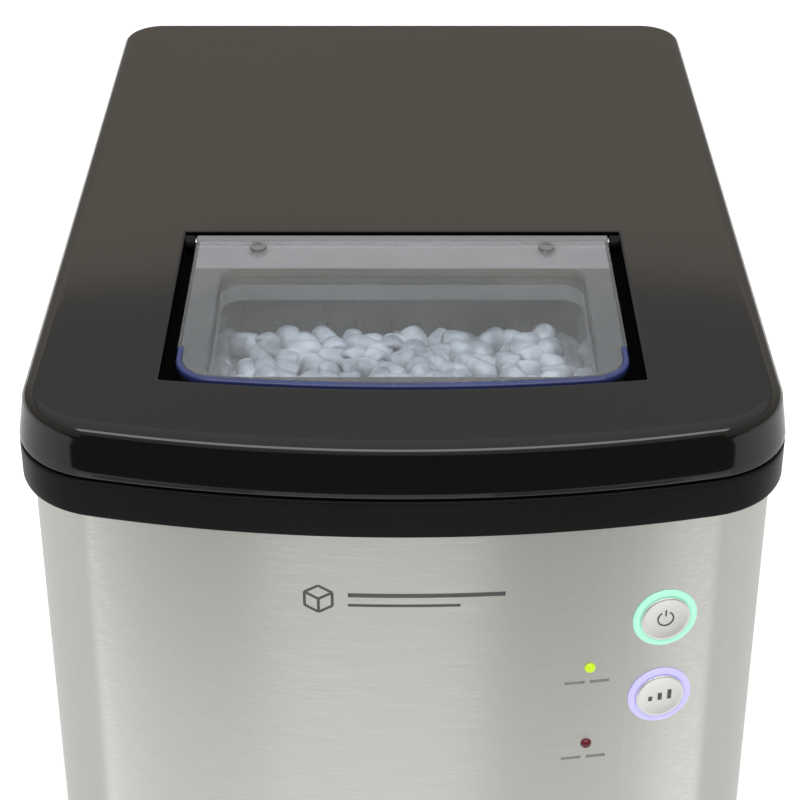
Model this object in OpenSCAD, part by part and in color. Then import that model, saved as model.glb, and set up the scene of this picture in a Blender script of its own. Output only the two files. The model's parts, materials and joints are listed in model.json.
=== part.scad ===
// Countertop ice maker with a hinged lid, a clear lift-up window and a removable ice basket.
// Frame: millimetres, +Z up, front towards -Y, origin on the floor under the middle of the cabinet.

/* [Cabinet] */
// Overall width, across the top frame
frame_w = 242; // [236:1:250]
// Overall depth, across the top frame
frame_d = 354; // [354:1:364]
// Overall height, with the lid closed
total_h = 328; // [324:1:334]
// Radius of the bowed front, seen from above
bow_r = 400; // [400:5:560]
// Radius of the two front corners
front_corner_r = 32; // [22:1:32]
// Radius of the two rear corners
rear_corner_r = 18; // [16:1:22]
// How far the steel cabinet stands inside the top frame
body_inset = 3.5; // [3.2:0.1:4]
// Thickness of the sheet steel
sheet = 1; // [0.8:0.1:1.2]
// Height of the black base skirt above its lower edge
base_h = 30; // [28:1:34]

/* [Lid] */
// Height of the lid's skirt
lid_h = 18; // [18:0.5:20]
// Visible height of the top frame
frame_h = 13; // [12:0.5:15]
// Draft of the lid's skirt, from its lower edge to its shoulder
lid_draft = 2.2; // [1.5:0.1:2.6]
// Gap between the lid and the top frame
lid_gap = 0.6; // [0.5:0.1:0.8]

/* [Window] */
// Width of the clear window
window_w = 145; // [140:1:150]
// Gap along the sides and the front of the window
window_gap = 4; // [3:0.5:4.5]
// Where the window's front edge lies, in front of the cabinet's middle
window_front = 136; // [132:1:138]
// Radius of the window's bowed front edge, seen from above
window_bow_r = 462; // [440:2:480]
// Where the window's hinge line lies, in front of the cabinet's middle
window_hinge = 33; // [32:0.5:34]
// Half the width of the opening under the window
opening_half_w = 62; // [58:1:64]

/* [Controls] */
// How far the buttons lie to the right of the middle
button_x = 83.2; // [80:0.1:84]
// Heights of the upper and the lower button above the floor
button_z = [258.5, 227.7];
// How far the two indicator lamps lie to the right of the middle
lamp_x = 59.9; // [56:0.1:62]
// Heights of the upper and the lower lamp above the floor
lamp_z = [241.7, 210.8];
// Outer radius of a button's light ring
ring_r = 10.6; // [10:0.1:11]
// Radius of a button's cap
cap_r = 8.1; // [7.8:0.1:8.3]

/* [Ice works] */
// Half the inner width of the tank
tank_half_w = 84; // [82:1:85]
// Number of freezing fingers in the front row
front_fingers = 5; // [3:1:5]
// Number of freezing fingers in the rear row
rear_fingers = 4; // [2:1:4]
// Radius of a freezing finger
finger_r = 5; // [4:0.5:5.5]
// Number of fan blades
fan_blades_n = 7; // [5:1:9]

/* [Hidden] */
$fn = 48;
eps = 0.01;

// Heights above the floor
foot_h = 10;
base_z = 8;
base_floor = 3;
base_top = base_z + base_h;
lid_top = total_h;
seam_z = lid_top - lid_h;
frame_bottom = seam_z - frame_h;
lid_bottom = seam_z + lid_gap;
deck_t = 2.6;
wrap_top = frame_bottom + 3;

// Plan of the cabinet
half_w = frame_w / 2;
half_d = frame_d / 2;
bow_y = bow_r - half_d;
corner_x = half_w - front_corner_r;
corner_y = bow_y - sqrt(pow(bow_r - front_corner_r, 2) - pow(corner_x, 2));
corner_a = atan2(corner_y - bow_y, corner_x);
rear_x = half_w - rear_corner_r;
rear_y = half_d - rear_corner_r;
corner_steps = 10;
bow_steps = 24;
body_half_w = half_w - body_inset;
body_rear = half_d - body_inset;

// Hinge of the lid, along the rear edge
hinge_y = half_d - 3.5;
hinge_z = seam_z + 1.3;
knuckle_r = 3.5;
hinge_x = 70;
pin_r = 1.5;
running = 0.05;
rebate_y = half_d - 7.4;
rebate_z = seam_z - 3.2;

// Window in the lid
pane_t = 3;
pane_z = lid_top - 4;
window_half_w = window_w / 2;
window_bow_y = window_bow_r - window_front;
window_axis_z = lid_top - 2.8;
barrel_r = 2.4;
well_half_w = window_half_w + window_gap;
well_rear = -30;
well_front = window_front + window_gap;
well_wall = 2;
ledge_z = lid_top - 6.8;
ledge_t = 2;
opening_rear = -57;
opening_front = 128;
liner_z = seam_z + 3.2;
liner_t = 2;

// Tank, basket and tray
tank_wall = 2.5;
tank_front = -146;
tank_rear = 75;
tank_floor = 151;
rear_floor = 191;
step_y = -22;
deck_opening_half_w = tank_half_w - 2;
foam_t = 10;
basket_half_w = 78;
basket_front = -139;
basket_rear = -27;
basket_corner = 8;
basket_floor = 196;
basket_top = 290;
basket_rear_top = 232;
basket_wall = 2;
tray_half_w = 60;
tray_front = -16.5;
tray_rear = 48.5;
tray_bottom = 234;
tray_top = 264;
tray_wall = 2.2;
shaft_y = 52;
shaft_z = 262;
shaft_r = 2.5;
head_z = 288;
finger_tip_z = 243;
fill_y = 20;
fill_z = 277;
pump_pos = [-48, -100];
pump_port_z = 86;
float_pos = [-62, -60];
front_row_y = 7;
rear_row_y = 28;
finger_pitch = 22;
shovel_y = -14;
shovel_z = 296;
shovel_rod_r = 2;

// Lower compartment
compressor_pos = [-48, 112];
compressor_r = 50;
fan_pos = [105, 76];
fan_x = 54;
condenser_x = 80;
condenser_half = 54;
fins = 28;
fin_t = 0.7;
drain_x = 48;
drain_y = -60;
drain_z = 23;
gland_pos = [-78, 64];
gland_bore_r = 4;
screw_r = 1.5;
screw_head_r = 3;

// Points on an arc from angle a0 to angle a1, in n steps
function arc_points(cx, cy, r, a0, a1, n) =
    [for (i = [0:n]) let (a = a0 + (a1 - a0) * i / n) [cx + r * cos(a), cy + r * sin(a)]];

// Plan outline of the top frame, moved inwards by inset: a bowed front and four round corners
function outline(inset) = concat(
    arc_points(corner_x, corner_y, front_corner_r - inset, corner_a, 0, corner_steps),
    arc_points(rear_x, rear_y, rear_corner_r - inset, 0, 90, corner_steps),
    arc_points(-rear_x, rear_y, rear_corner_r - inset, 90, 180, corner_steps),
    arc_points(-corner_x, corner_y, front_corner_r - inset, 180, 180 - corner_a, corner_steps),
    [for (i = [1:bow_steps - 1])
        let (a = 180 - corner_a + (180 + 2 * corner_a) * i / bow_steps)
        [(bow_r - inset) * cos(a), bow_y + (bow_r - inset) * sin(a)]]
);

// A strip of the plan between two heights, filled
module slab(inset, z0, z1) {
    translate([0, 0, z0]) linear_extrude(z1 - z0) polygon(outline(inset));
}

// The same strip as a wall
module rim(outer, inner, z0, z1) {
    difference() {
        slab(outer, z0, z1);
        slab(inner, z0 - 1, z1 + 1);
    }
}

// A box given by its lowest and highest corners
module block(lo, hi) {
    translate(lo) cube(hi - lo);
}

// A box that is hollow and open at the top
module open_box(lo, hi, wall, floor_t) {
    difference() {
        block(lo, hi);
        block([lo.x + wall, lo.y + wall, lo.z + floor_t], [hi.x - wall, hi.y - wall, hi.z + 1]);
    }
}

// A cylinder along X
module x_rod(x0, x1, y, z, r) {
    translate([x0, y, z]) rotate([0, 90, 0]) cylinder(r = r, h = x1 - x0);
}

// A cylinder along Y
module y_rod(x, y0, y1, z, r) {
    translate([x, y0, z]) rotate([-90, 0, 0]) cylinder(r = r, h = y1 - y0);
}

// A smooth curve through a list of points, with n steps between each two
function curve(p, n = 4) = concat(
    [for (i = [0:len(p) - 2], k = [0:n - 1])
        let (a = p[max(i - 1, 0)], b = p[i], c = p[i + 1], d = p[min(i + 2, len(p) - 1)], t = k / n)
        b + t * (c - a) / 2
            + pow(t, 2) * (a - 2.5 * b + 2 * c - d / 2)
            + pow(t, 3) * (1.5 * (b - c) + (d - a) / 2)],
    [p[len(p) - 1]]
);

function unit(v) = v / norm(v);

// Direction of a path at each of its points
function tangents(p) =
    [for (i = [0:len(p) - 1]) unit(p[min(i + 1, len(p) - 1)] - p[max(i - 1, 0)])];

// A direction square to the path at each point, carried along it without twisting
function side_ways(t, first, i = 0, done = []) =
    i == len(t) ? done
    : let (last = i == 0 ? first : done[i - 1])
        side_ways(t, first, i + 1, concat(done, [unit(last - (last * t[i]) * t[i])]));

// A tube bent along a smooth curve through hand-placed points
module tube(points, r, sides = 10) {
    path = curve(points);
    t = tangents(path);
    s = side_ways(t, abs(t[0].x) < 0.9 ? [1, 0, 0] : [0, 1, 0]);
    last = len(path) - 1;
    ring = [for (i = [0:last], k = [0:sides - 1])
        path[i] + r * (cos(360 * k / sides) * s[i] + sin(360 * k / sides) * cross(t[i], s[i]))];
    walls = [for (i = [0:last - 1], k = [0:sides - 1])
        let (a = i * sides + k, b = i * sides + (k + 1) % sides)
        each [[a, b + sides, b], [a, a + sides, b + sides]]];
    polyhedron(ring, concat([[for (k = [0:sides - 1]) k]],
        [[for (k = [sides - 1:-1:0]) last * sides + k]], walls));
}

// Rounded rectangle, built from circles and squares
module round_rect(x0, y0, x1, y1, r) {
    for (x = [x0 + r, x1 - r], y = [y0 + r, y1 - r])
        translate([x, y]) circle(r = r);
    translate([x0 + r, y0]) square([x1 - x0 - 2 * r, y1 - y0]);
    translate([x0, y0 + r]) square([x1 - x0, y1 - y0 - 2 * r]);
}

// Puts its children on the bowed front, at x and z, with -Y pointing straight out of the steel
module on_front(x, z) {
    face_r = bow_r - body_inset;
    translate([0, bow_y, z]) rotate([0, 0, asin(x / face_r)]) translate([0, -face_r, 0]) children();
}

// A pan-head screw along its own Z, with its head above z = 0
module pan_screw(length, head_t = 1.8) {
    difference() {
        union() {
            cylinder(r = screw_head_r, h = head_t);
            translate([0, 0, -length]) cylinder(r = screw_r, h = length + eps);
        }
        for (a = [0, 90]) rotate([0, 0, a])
            block([-1.8, -0.4, head_t - 0.9], [1.8, 0.4, head_t + 1]);
    }
}

// ---- Base -------------------------------------------------------------------------------------

foot_x = 92;
foot_front_y = -132;
foot_rear_y = 148;
foot_places = [
    [-foot_x, foot_front_y], [foot_x, foot_front_y], [-foot_x, foot_rear_y], [foot_x, foot_rear_y]
];
grommet_reach = [38, 44];
grommet_places = [for (sx = [-1, 1], sy = [-1, 1])
    compressor_pos + [grommet_reach.x * sx, grommet_reach.y * sy]];
cup_r = 13.5;
cup_depth = 9;

module base_pan() {
    color([0.07, 0.07, 0.075]) difference() {
        union() {
            rim(body_inset, body_inset + 2.6, base_z, base_top);
            slab(body_inset + 0.5, foot_h, foot_h + base_floor);
            rim(body_inset + sheet + 0.2, body_inset + sheet + 2.2, foot_h, base_top + 6);
            intersection() {
                x_rod(body_half_w - cup_depth - 3, body_half_w + 1, drain_y, drain_z, cup_r + 1.4);
                slab(body_inset, base_z + 0.2, base_top - 0.2);
            }
        }
        x_rod(body_half_w - cup_depth, body_half_w + 2, drain_y, drain_z, cup_r);
        x_rod(body_half_w - 20, body_half_w, drain_y, drain_z, 7.05);
        for (p = foot_places) translate([p.x, p.y, foot_h - 1]) cylinder(r = screw_r + running, h = 8);
        for (p = grommet_places) translate([p.x, p.y, foot_h - 1]) cylinder(r = 3.05, h = 8);
        for (i = [0:7]) block([60 + 6 * i, 62, foot_h - 1], [63 + 6 * i, 132, foot_h + 5]);
    }
}

module foot(i) {
    color([0.05, 0.05, 0.05]) translate(foot_places[i]) rotate_extrude() polygon([
        [4, 0], [10.5, 0], [11.5, 1], [12.5, foot_h - 1.5], [12.5, foot_h],
        [screw_r + running, foot_h], [screw_r + running, 4], [4, 4]
    ]);
}

// ---- Steel cabinet ----------------------------------------------------------------------------

grille_y = [42, 152];
grille_z = [58, 150];
flange_x = 92;
back_screw_z = [52, 132, 212, 285];
back_screw_x = 96;
panel_t = 1.5;
panel_y = body_rear - sheet - panel_t;
slats = 11;
slat_pitch = 7.7;
slat_tilt = 35;
vent_rows = 12;
vent_x = 36;
vent_w = 52;
vent_h = 3.4;
vent_z = 92;
vent_pitch = 9;

module wrap_panel() {
    color([0.72, 0.72, 0.71]) difference() {
        rim(body_inset, body_inset + sheet, base_top, wrap_top);
        block([-flange_x, 150, base_top - 1], [flange_x, half_d, wrap_top + 1]);
        for (s = [-1, 1])
            block(
                [min(s * (half_w - 10), s * half_w), grille_y[0], grille_z[0]],
                [max(s * (half_w - 10), s * half_w), grille_y[1], grille_z[1]]
            );
        for (z = button_z) on_front(button_x, z) y_rod(0, -5, 8, 0, ring_r - 0.7);
        for (z = lamp_z) on_front(lamp_x, z) y_rod(0, -5, 8, 0, 1.85);
        for (s = [-1, 1], z = back_screw_z) y_rod(s * back_screw_x, 165, half_d, z, screw_r + running);
    }
}

module back_panel() {
    color([0.09, 0.09, 0.095]) difference() {
        block([-rear_x + 1, panel_y, base_top + 7], [rear_x - 1, panel_y + panel_t, wrap_top - 1]);
        for (row = [0:vent_rows - 1], side = [-1, 1])
            translate([side * vent_x - vent_w / 2, panel_y - 1, vent_z + vent_pitch * row])
                cube([vent_w, panel_t + 2, vent_h]);
        for (s = [-1, 1], z = back_screw_z) y_rod(s * back_screw_x, 165, half_d, z, screw_r + running);
        y_rod(gland_pos.x, 165, half_d, gland_pos.y, 7.55);
    }
}

// A louvred air grille in the side of the cabinet; side is -1 for the left and 1 for the right
module side_grille(side) {
    face = body_half_w + 1;
    y0 = grille_y[0];
    y1 = grille_y[1];
    middle = (y0 + y1) / 2;
    z0 = grille_z[0];
    z1 = grille_z[1];
    color([0.06, 0.06, 0.065]) mirror([side < 0 ? 1 : 0, 0, 0]) {
        difference() {
            union() {
                block([body_half_w + 0.05, y0 - 3, z0 - 3], [face, y1 + 3, z1 + 3]);
                block([body_half_w - 4, y0 + 0.2, z0 + 0.2], [face - eps, y1 - 0.2, z1 - 0.2]);
            }
            block([body_half_w - 5, y0 + 3, z0 + 3], [face + 1, y1 - 3, z1 - 3]);
        }
        for (i = [0:slats - 1])
            translate([body_half_w - 1.6, y0 + 2.9, z0 + 7.5 + slat_pitch * i]) rotate([0, slat_tilt, 0])
                block([-2.4, 0, -0.7], [2.4, y1 - y0 - 5.8, 0.7]);
        block([body_half_w - 3, middle - 1.5, z0 + 2.9], [body_half_w - 0.6, middle + 1.5, z1 - 2.9]);
    }
}

// ---- Top frame and lid hinge ------------------------------------------------------------------

knuckle_half = 5.5;
knuckle_gap = 0.4;
outer_knuckle = 6;
collar_t = 1.6;
collar_drop = 10;
collar_rise = 1.8;
frame_screw_places = [
    [-98, -118], [98, -118], [-104, 0], [104, 0], [-98, 110], [98, 110], [0, 100], [0, -158]
];

module frame_knuckle(x0, x1) {
    x_rod(x0, x1, hinge_y, hinge_z, knuckle_r);
    block([x0, hinge_y - knuckle_r, rebate_z - 2], [x1, hinge_y + knuckle_r - 0.01, hinge_z]);
}

// Plan of the opening in the deck, grown on all sides
module deck_opening(grow) {
    round_rect(-deck_opening_half_w - grow, tank_front + 2 - grow,
        deck_opening_half_w + grow, tank_rear - 2 + grow, 8 + grow);
}

module top_frame() {
    color([0.05, 0.05, 0.055]) difference() {
        union() {
            rim(0, body_inset - 0.3, frame_bottom, seam_z);
            difference() {
                slab(0.5, seam_z - deck_t, seam_z);
                translate([0, 0, seam_z - deck_t - 1]) linear_extrude(deck_t + 2) deck_opening(0);
            }
            // Collar that hangs into the tank, and the low wall that carries the seal
            translate([0, 0, seam_z - collar_drop]) linear_extrude(collar_drop + collar_rise) difference() {
                deck_opening(collar_t);
                deck_opening(0);
            }
            // Closed step under the rear rebate
            intersection() {
                slab(0.5, rebate_z - 3, rebate_z + eps);
                block([-half_w, rebate_y - 3, rebate_z - 4], [half_w, half_d, rebate_z + 1]);
            }
            block([-rear_x, rebate_y - 3, rebate_z - 3], [rear_x, rebate_y, seam_z]);
        }
        block([-half_w, rebate_y, rebate_z], [half_w, half_d + 1, seam_z + 1]);
        for (p = frame_screw_places)
            translate([p.x, p.y, seam_z - 5]) cylinder(r = screw_r + running, h = 6);
    }
    color([0.05, 0.05, 0.055]) for (s = [-1, 1]) difference() {
        union() {
            frame_knuckle(s * hinge_x - knuckle_half - knuckle_gap - outer_knuckle,
                s * hinge_x - knuckle_half - knuckle_gap);
            frame_knuckle(s * hinge_x + knuckle_half + knuckle_gap,
                s * hinge_x + knuckle_half + knuckle_gap + outer_knuckle);
        }
        x_rod(s * hinge_x - 20, s * hinge_x + 20, hinge_y, hinge_z, pin_r + running);
    }
}

module lid_seal() {
    color([0.55, 0.56, 0.57]) translate([0, 0, seam_z + collar_rise]) linear_extrude(1.2) difference() {
        deck_opening(collar_t + 1);
        deck_opening(0);
    }
}

module lid_hinge_pins() {
    reach = knuckle_half + knuckle_gap + outer_knuckle;
    color([0.7, 0.7, 0.72]) for (s = [-1, 1])
        x_rod(s * hinge_x - reach, s * hinge_x + reach, hinge_y, hinge_z, pin_r);
}

// ---- Lid --------------------------------------------------------------------------------------

lid_wall = 2.6;
boss_places = [[-100, -100], [100, -100], [-100, 20], [100, 20], [-60, 120], [60, 120], [0, 20]];

// The lid's outer form between its lower edge and its shoulder, with a rounded upper edge
module lid_form(inset, bottom, top) {
    hull() {
        slab(inset, bottom, bottom + 0.1);
        slab(inset + lid_draft, top - 2.3, top - 2.2);
        slab(inset + lid_draft + 0.7, top - 0.8, top - 0.7);
        slab(inset + lid_draft + 2.2, top - 0.1, top);
    }
}

// Plan of the well in the lid, with square corners and a front edge that follows the bow
module well_area(grow) {
    x = well_half_w + grow;
    r = window_bow_y + well_front + grow;
    a = asin(x / r);
    polygon(concat(
        [[x, well_rear + grow], [-x, well_rear + grow]],
        arc_points(0, window_bow_y, r, 270 - a, 270 + a, 20)
    ));
}

module lid_opening_plan(grow) {
    round_rect(-opening_half_w - grow, -opening_front - grow,
        opening_half_w + grow, opening_rear + grow, 8 + grow);
}

module lid_shell() {
    color([0.04, 0.04, 0.045]) difference() {
        union() {
            difference() {
                lid_form(0, lid_bottom, lid_top);
                hull() {
                    slab(lid_wall, lid_bottom - 1, lid_bottom - 0.9);
                    slab(lid_wall + lid_draft, lid_top - lid_wall - 0.1, lid_top - lid_wall);
                }
            }
            // Well around the window, with the ledge that it rests on
            translate([0, 0, ledge_z - ledge_t])
                linear_extrude(lid_top - 1 - ledge_z + ledge_t) well_area(well_wall);
            for (p = boss_places)
                translate([p.x, p.y, liner_z + liner_t]) cylinder(r = 4, h = lid_top - liner_z - 4);
            for (s = [-1, 1])
                block([s * hinge_x - knuckle_half, hinge_y - 3, hinge_z],
                    [s * hinge_x + knuckle_half, half_d - 1.6, hinge_z + 7]);
        }
        translate([0, 0, ledge_z]) linear_extrude(20) well_area(0);
        translate([0, 0, ledge_z - ledge_t - 1]) linear_extrude(ledge_t + 2) lid_opening_plan(0);
        for (p = boss_places) translate([p.x, p.y, liner_z]) cylinder(r = screw_r + running, h = 9);
        x_rod(-well_half_w - 5, well_half_w + 5, -window_hinge, window_axis_z, pin_r + running);
        // Notches that clear the frame's knuckles
        for (s = [-1, 1]) for (d = [-1, 1])
            block(
                [s * hinge_x + d * (knuckle_half + 4) - 4, rebate_y, lid_bottom - 1],
                [s * hinge_x + d * (knuckle_half + 4) + 4, half_d + 1, hinge_z + 5]
            );
        for (s = [-1, 1])
            x_rod(s * hinge_x - 20, s * hinge_x + 20, hinge_y, hinge_z, pin_r + running);
    }
    color([0.04, 0.04, 0.045]) for (s = [-1, 1]) difference() {
        x_rod(s * hinge_x - knuckle_half, s * hinge_x + knuckle_half, hinge_y, hinge_z, knuckle_r - 0.02);
        x_rod(s * hinge_x - 20, s * hinge_x + 20, hinge_y, hinge_z, pin_r + running);
    }
    // Ears beside the window, which hold its hinge pins
    color([0.04, 0.04, 0.045]) for (m = [0, 1]) mirror([m, 0, 0]) difference() {
        x_rod(window_half_w + 0.5, well_half_w + 0.5, -window_hinge, window_axis_z, barrel_r);
        x_rod(window_half_w - 1, well_half_w + 2, -window_hinge, window_axis_z, pin_r + running);
    }
}

module lid_liner() {
    color([0.82, 0.83, 0.84]) difference() {
        union() {
            difference() {
                slab(6, liner_z, liner_z + liner_t);
                translate([0, 0, liner_z - 1]) linear_extrude(liner_t + 2) lid_opening_plan(0);
            }
            translate([0, 0, liner_z]) linear_extrude(ledge_z - ledge_t - 0.2 - liner_z) difference() {
                lid_opening_plan(2);
                lid_opening_plan(0);
            }
        }
        for (p = boss_places) translate([p.x, p.y, liner_z - 1]) cylinder(r = screw_r + running, h = 9);
        block([-half_w, hinge_y - 9, liner_z - 1], [half_w, half_d, liner_z + 5]);
    }
}

module lid_screws() {
    color([0.6, 0.6, 0.62]) for (p = boss_places)
        translate([p.x, p.y, liner_z]) rotate([180, 0, 0]) pan_screw(8, 1.6);
}

module window_hinge_pins() {
    color([0.7, 0.7, 0.72]) for (m = [0, 1]) mirror([m, 0, 0])
        x_rod(window_half_w - 8, well_half_w + well_wall, -window_hinge, window_axis_z, pin_r);
}

// ---- Lift-up window ---------------------------------------------------------------------------

window_corner_r = 14;
strip_front = -54.3;
screw_x = 50.5;
screw_y = -40.5;
lip_w = 3;
lip_rear = -111;

// Plan of the window from y_rear forwards, with round front corners and a front edge on the bow
module window_area(y_rear, inset) {
    x = window_half_w - inset;
    r = window_bow_r - inset;
    c = window_corner_r - inset;
    cx = x - c;
    cy = window_bow_y - sqrt(pow(r - c, 2) - cx * cx);
    a = atan2(cy - window_bow_y, cx);
    polygon(concat(
        [[x, y_rear], [-x, y_rear]],
        arc_points(-cx, cy, c, 180, 180 - a, 8),
        [for (i = [1:15])
            let (b = 180 - a + (180 + 2 * a) * i / 16)
            [r * cos(b), window_bow_y + r * sin(b)]],
        arc_points(cx, cy, c, a, 0, 8)
    ));
}

// Plan of the lip that wraps the window's front edge, with a gap around it
module lip_plan(gap) {
    difference() {
        window_area(lip_rear + gap, -gap);
        window_area(lip_rear + 10, lip_w + gap - running);
    }
}

module window_pane() {
    color([0.75, 0.82, 0.9, 0.35]) difference() {
        translate([0, 0, pane_z]) linear_extrude(pane_t) difference() {
            window_area(-window_hinge - barrel_r - 0.3, 0);
            lip_plan(running);
        }
        for (s = [-1, 1])
            translate([screw_x * s, screw_y, pane_z - 1]) cylinder(r = screw_r + running, h = pane_t + 2);
    }
}

module window_frame() {
    color([0.62, 0.63, 0.66]) difference() {
        union() {
            translate([0, 0, pane_z - 2.6]) linear_extrude(2.55) difference() {
                window_area(-window_hinge - barrel_r - 0.2, 1);
                round_rect(-opening_half_w - 0.5, -opening_front - 0.3,
                    opening_half_w + 0.5, strip_front, 6);
            }
            x_rod(-window_half_w, window_half_w, -window_hinge, window_axis_z, barrel_r);
            block([-window_half_w + 1, -window_hinge - barrel_r - 0.25, pane_z - 2.6],
                [window_half_w - 1, -window_hinge, pane_z - 0.4]);
        }
        for (m = [0, 1]) mirror([m, 0, 0])
            x_rod(window_half_w - 10, window_half_w + 2, -window_hinge, window_axis_z, pin_r + running);
        for (s = [-1, 1])
            translate([screw_x * s, screw_y, pane_z - 4]) cylinder(r = screw_r + running, h = 5);
    }
}

module window_lip() {
    color([0.25, 0.33, 0.75]) translate([0, 0, pane_z]) linear_extrude(pane_t - 0.2) lip_plan(0);
}

module window_screws() {
    color([0.25, 0.25, 0.26]) for (s = [-1, 1])
        translate([screw_x * s, screw_y, pane_z + pane_t]) pan_screw(pane_t + 2.4, 0.9);
}

// ---- Tank, basket, tray and shovel ------------------------------------------------------------

bush_r = 4.5;

module inner_tank() {
    rim_top = seam_z - deck_t - 0.2;
    out = tank_half_w + tank_wall;
    color([0.86, 0.87, 0.88]) difference() {
        union() {
            block([-out, tank_front - tank_wall, tank_floor - 3], [out, step_y + tank_wall, rim_top]);
            block([-out, step_y, rear_floor - 3], [out, tank_rear + tank_wall, rim_top]);
            block([-tank_half_w - 9, tank_front - 6, rim_top - 2.5],
                [tank_half_w + 9, tank_rear + 8, rim_top]);
            translate([drain_x, drain_y, tank_floor - 16]) cylinder(r = 6, h = 14);
            translate([pump_pos.x, pump_pos.y, tank_floor - 16]) cylinder(r = 5, h = 14);
        }
        block([-tank_half_w, tank_front, tank_floor], [tank_half_w, step_y, rim_top + 1]);
        block([-tank_half_w, step_y - 1, rear_floor], [tank_half_w, tank_rear, rim_top + 1]);
        translate([drain_x, drain_y, tank_floor - 17]) cylinder(r = 4, h = 20);
        translate([pump_pos.x, pump_pos.y, tank_floor - 17]) cylinder(r = 3, h = 20);
        x_rod(-110, 110, shaft_y, shaft_z, bush_r + running);
        x_rod(-110, 110, shovel_y, shovel_z, shovel_rod_r + running);
        block([-50, tank_rear - 1, head_z - 1], [-30, tank_rear + 4, head_z + 13]);
        x_rod(-110, -tank_half_w + 1, fill_y, fill_z, 4.1);
    }
    // Rests for the basket
    color([0.86, 0.87, 0.88]) for (s = [-1, 1], y = [-130, -46])
        block([min(s * (tank_half_w + eps), s * (tank_half_w - 8)), y, basket_floor - 8],
            [max(s * (tank_half_w + eps), s * (tank_half_w - 8)), y + 10, basket_floor - 0.3]);
}

module tank_insulation() {
    w = tank_half_w + tank_wall;
    g = 0.3;
    foam_top = 299;
    color([0.93, 0.93, 0.9]) difference() {
        union() {
            block([-w - foam_t, tank_front - tank_wall - 3, tank_floor - 3 - foam_t],
                [w + foam_t, step_y + tank_wall + foam_t, foam_top]);
            block([-w - foam_t, step_y, rear_floor - 3 - foam_t],
                [w + foam_t, tank_rear + tank_wall + foam_t, foam_top]);
        }
        block([-w - g, tank_front - tank_wall - g, tank_floor - 3 - g],
            [w + g, step_y + tank_wall + g, foam_top + 1]);
        block([-w - g, step_y, rear_floor - 3 - g], [w + g, tank_rear + tank_wall + g, foam_top + 1]);
        translate([drain_x, drain_y, tank_floor - 20]) cylinder(r = 8, h = 20);
        translate([pump_pos.x, pump_pos.y, tank_floor - 20]) cylinder(r = 8, h = 20);
        block([w - 1, shaft_y - 27, shaft_z - 27], [w + foam_t + 1, shaft_y + 27, 300]);
        block([-w - foam_t - 1, shaft_y - 8, shaft_z - 8], [-w + 1, shaft_y + 8, 300]);
        block([-w - foam_t - 1, 8, 262], [-w + 1, 32, 300]);
        block([-60, tank_rear, head_z - 12], [-20, tank_rear + 20, 300]);
        block([-w - 12, shovel_y - 5, shovel_z - 5], [w + 12, shovel_y + 5, 300]);
    }
}

slot_pitch = 11;
slot_w = 3;

module basket_plan(grow) {
    round_rect(-basket_half_w - grow, basket_front - grow, basket_half_w + grow, basket_rear + grow,
        basket_corner + grow);
}

module ice_basket() {
    z0 = basket_floor;
    z1 = basket_top;
    color([0.9, 0.92, 0.94]) difference() {
        union() {
            translate([0, 0, z0]) linear_extrude(z1 - z0) basket_plan(0);
            translate([0, 0, z1 - 2.2]) linear_extrude(2.2) basket_plan(2);
        }
        translate([0, 0, z0 + basket_wall]) linear_extrude(z1) basket_plan(-basket_wall);
        // Low rear wall, where the ice comes in
        block([-64, basket_rear - 6, basket_rear_top], [64, basket_rear + 4, z1 + 1]);
        for (i = [-6:6])
            block([slot_pitch * i - slot_w / 2, basket_front + 12, z0 - 1],
                [slot_pitch * i + slot_w / 2, basket_rear - 12, z0 + 4]);
        for (i = [-6:6])
            block([slot_pitch * i - slot_w / 2, basket_front - 1, z0 + 10],
                [slot_pitch * i + slot_w / 2, basket_front + 4, z0 + 48]);
        for (i = [0:7])
            block([-basket_half_w - 1, basket_front + 14 + 12 * i, z0 + 10],
                [basket_half_w + 1, basket_front + 14 + slot_w + 12 * i, z0 + 48]);
    }
}

module water_tray() {
    color([0.25, 0.27, 0.3]) difference() {
        union() {
            open_box([-tray_half_w, tray_front, tray_bottom], [tray_half_w, tray_rear, tray_top],
                tray_wall, tray_wall);
            block([-tray_half_w, tray_front - 3, tray_top - 1.8],
                [tray_half_w, tray_front + 0.5, tray_top]);
            for (m = [0, 1]) mirror([m, 0, 0]) {
                x_rod(tray_half_w - 4, tray_half_w, shaft_y, shaft_z, 6);
                block([tray_half_w - 4, tray_rear - 3, shaft_z - 6], [tray_half_w, shaft_y, shaft_z + 2]);
            }
        }
        x_rod(-tray_half_w - 1, tray_half_w + 1, shaft_y, shaft_z, shaft_r + running);
    }
}

module tray_shaft() {
    color([0.7, 0.7, 0.72]) x_rod(-tank_half_w - 5, tank_half_w + 12, shaft_y, shaft_z, shaft_r);
}

module tray_bushes() {
    color([0.85, 0.85, 0.8]) for (m = [0, 1]) mirror([m, 0, 0]) difference() {
        union() {
            x_rod(tank_half_w - 1, tank_half_w + tank_wall, shaft_y, shaft_z, bush_r);
            x_rod(tank_half_w - 2, tank_half_w - 0.1, shaft_y, shaft_z, bush_r + 2.5);
        }
        x_rod(0, 110, shaft_y, shaft_z, shaft_r + running);
    }
}

module tray_motor() {
    x0 = tank_half_w + tank_wall + 0.4;
    color([0.75, 0.75, 0.76]) difference() {
        union() {
            x_rod(x0, x0 + 13, shaft_y, shaft_z, 24);
            block([x0, shaft_y - 26, shaft_z - 3.5], [x0 + 1.2, shaft_y + 26, shaft_z + 3.5]);
        }
        x_rod(x0 - 1, tank_half_w + 13, shaft_y, shaft_z, shaft_r + running);
    }
}

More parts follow.
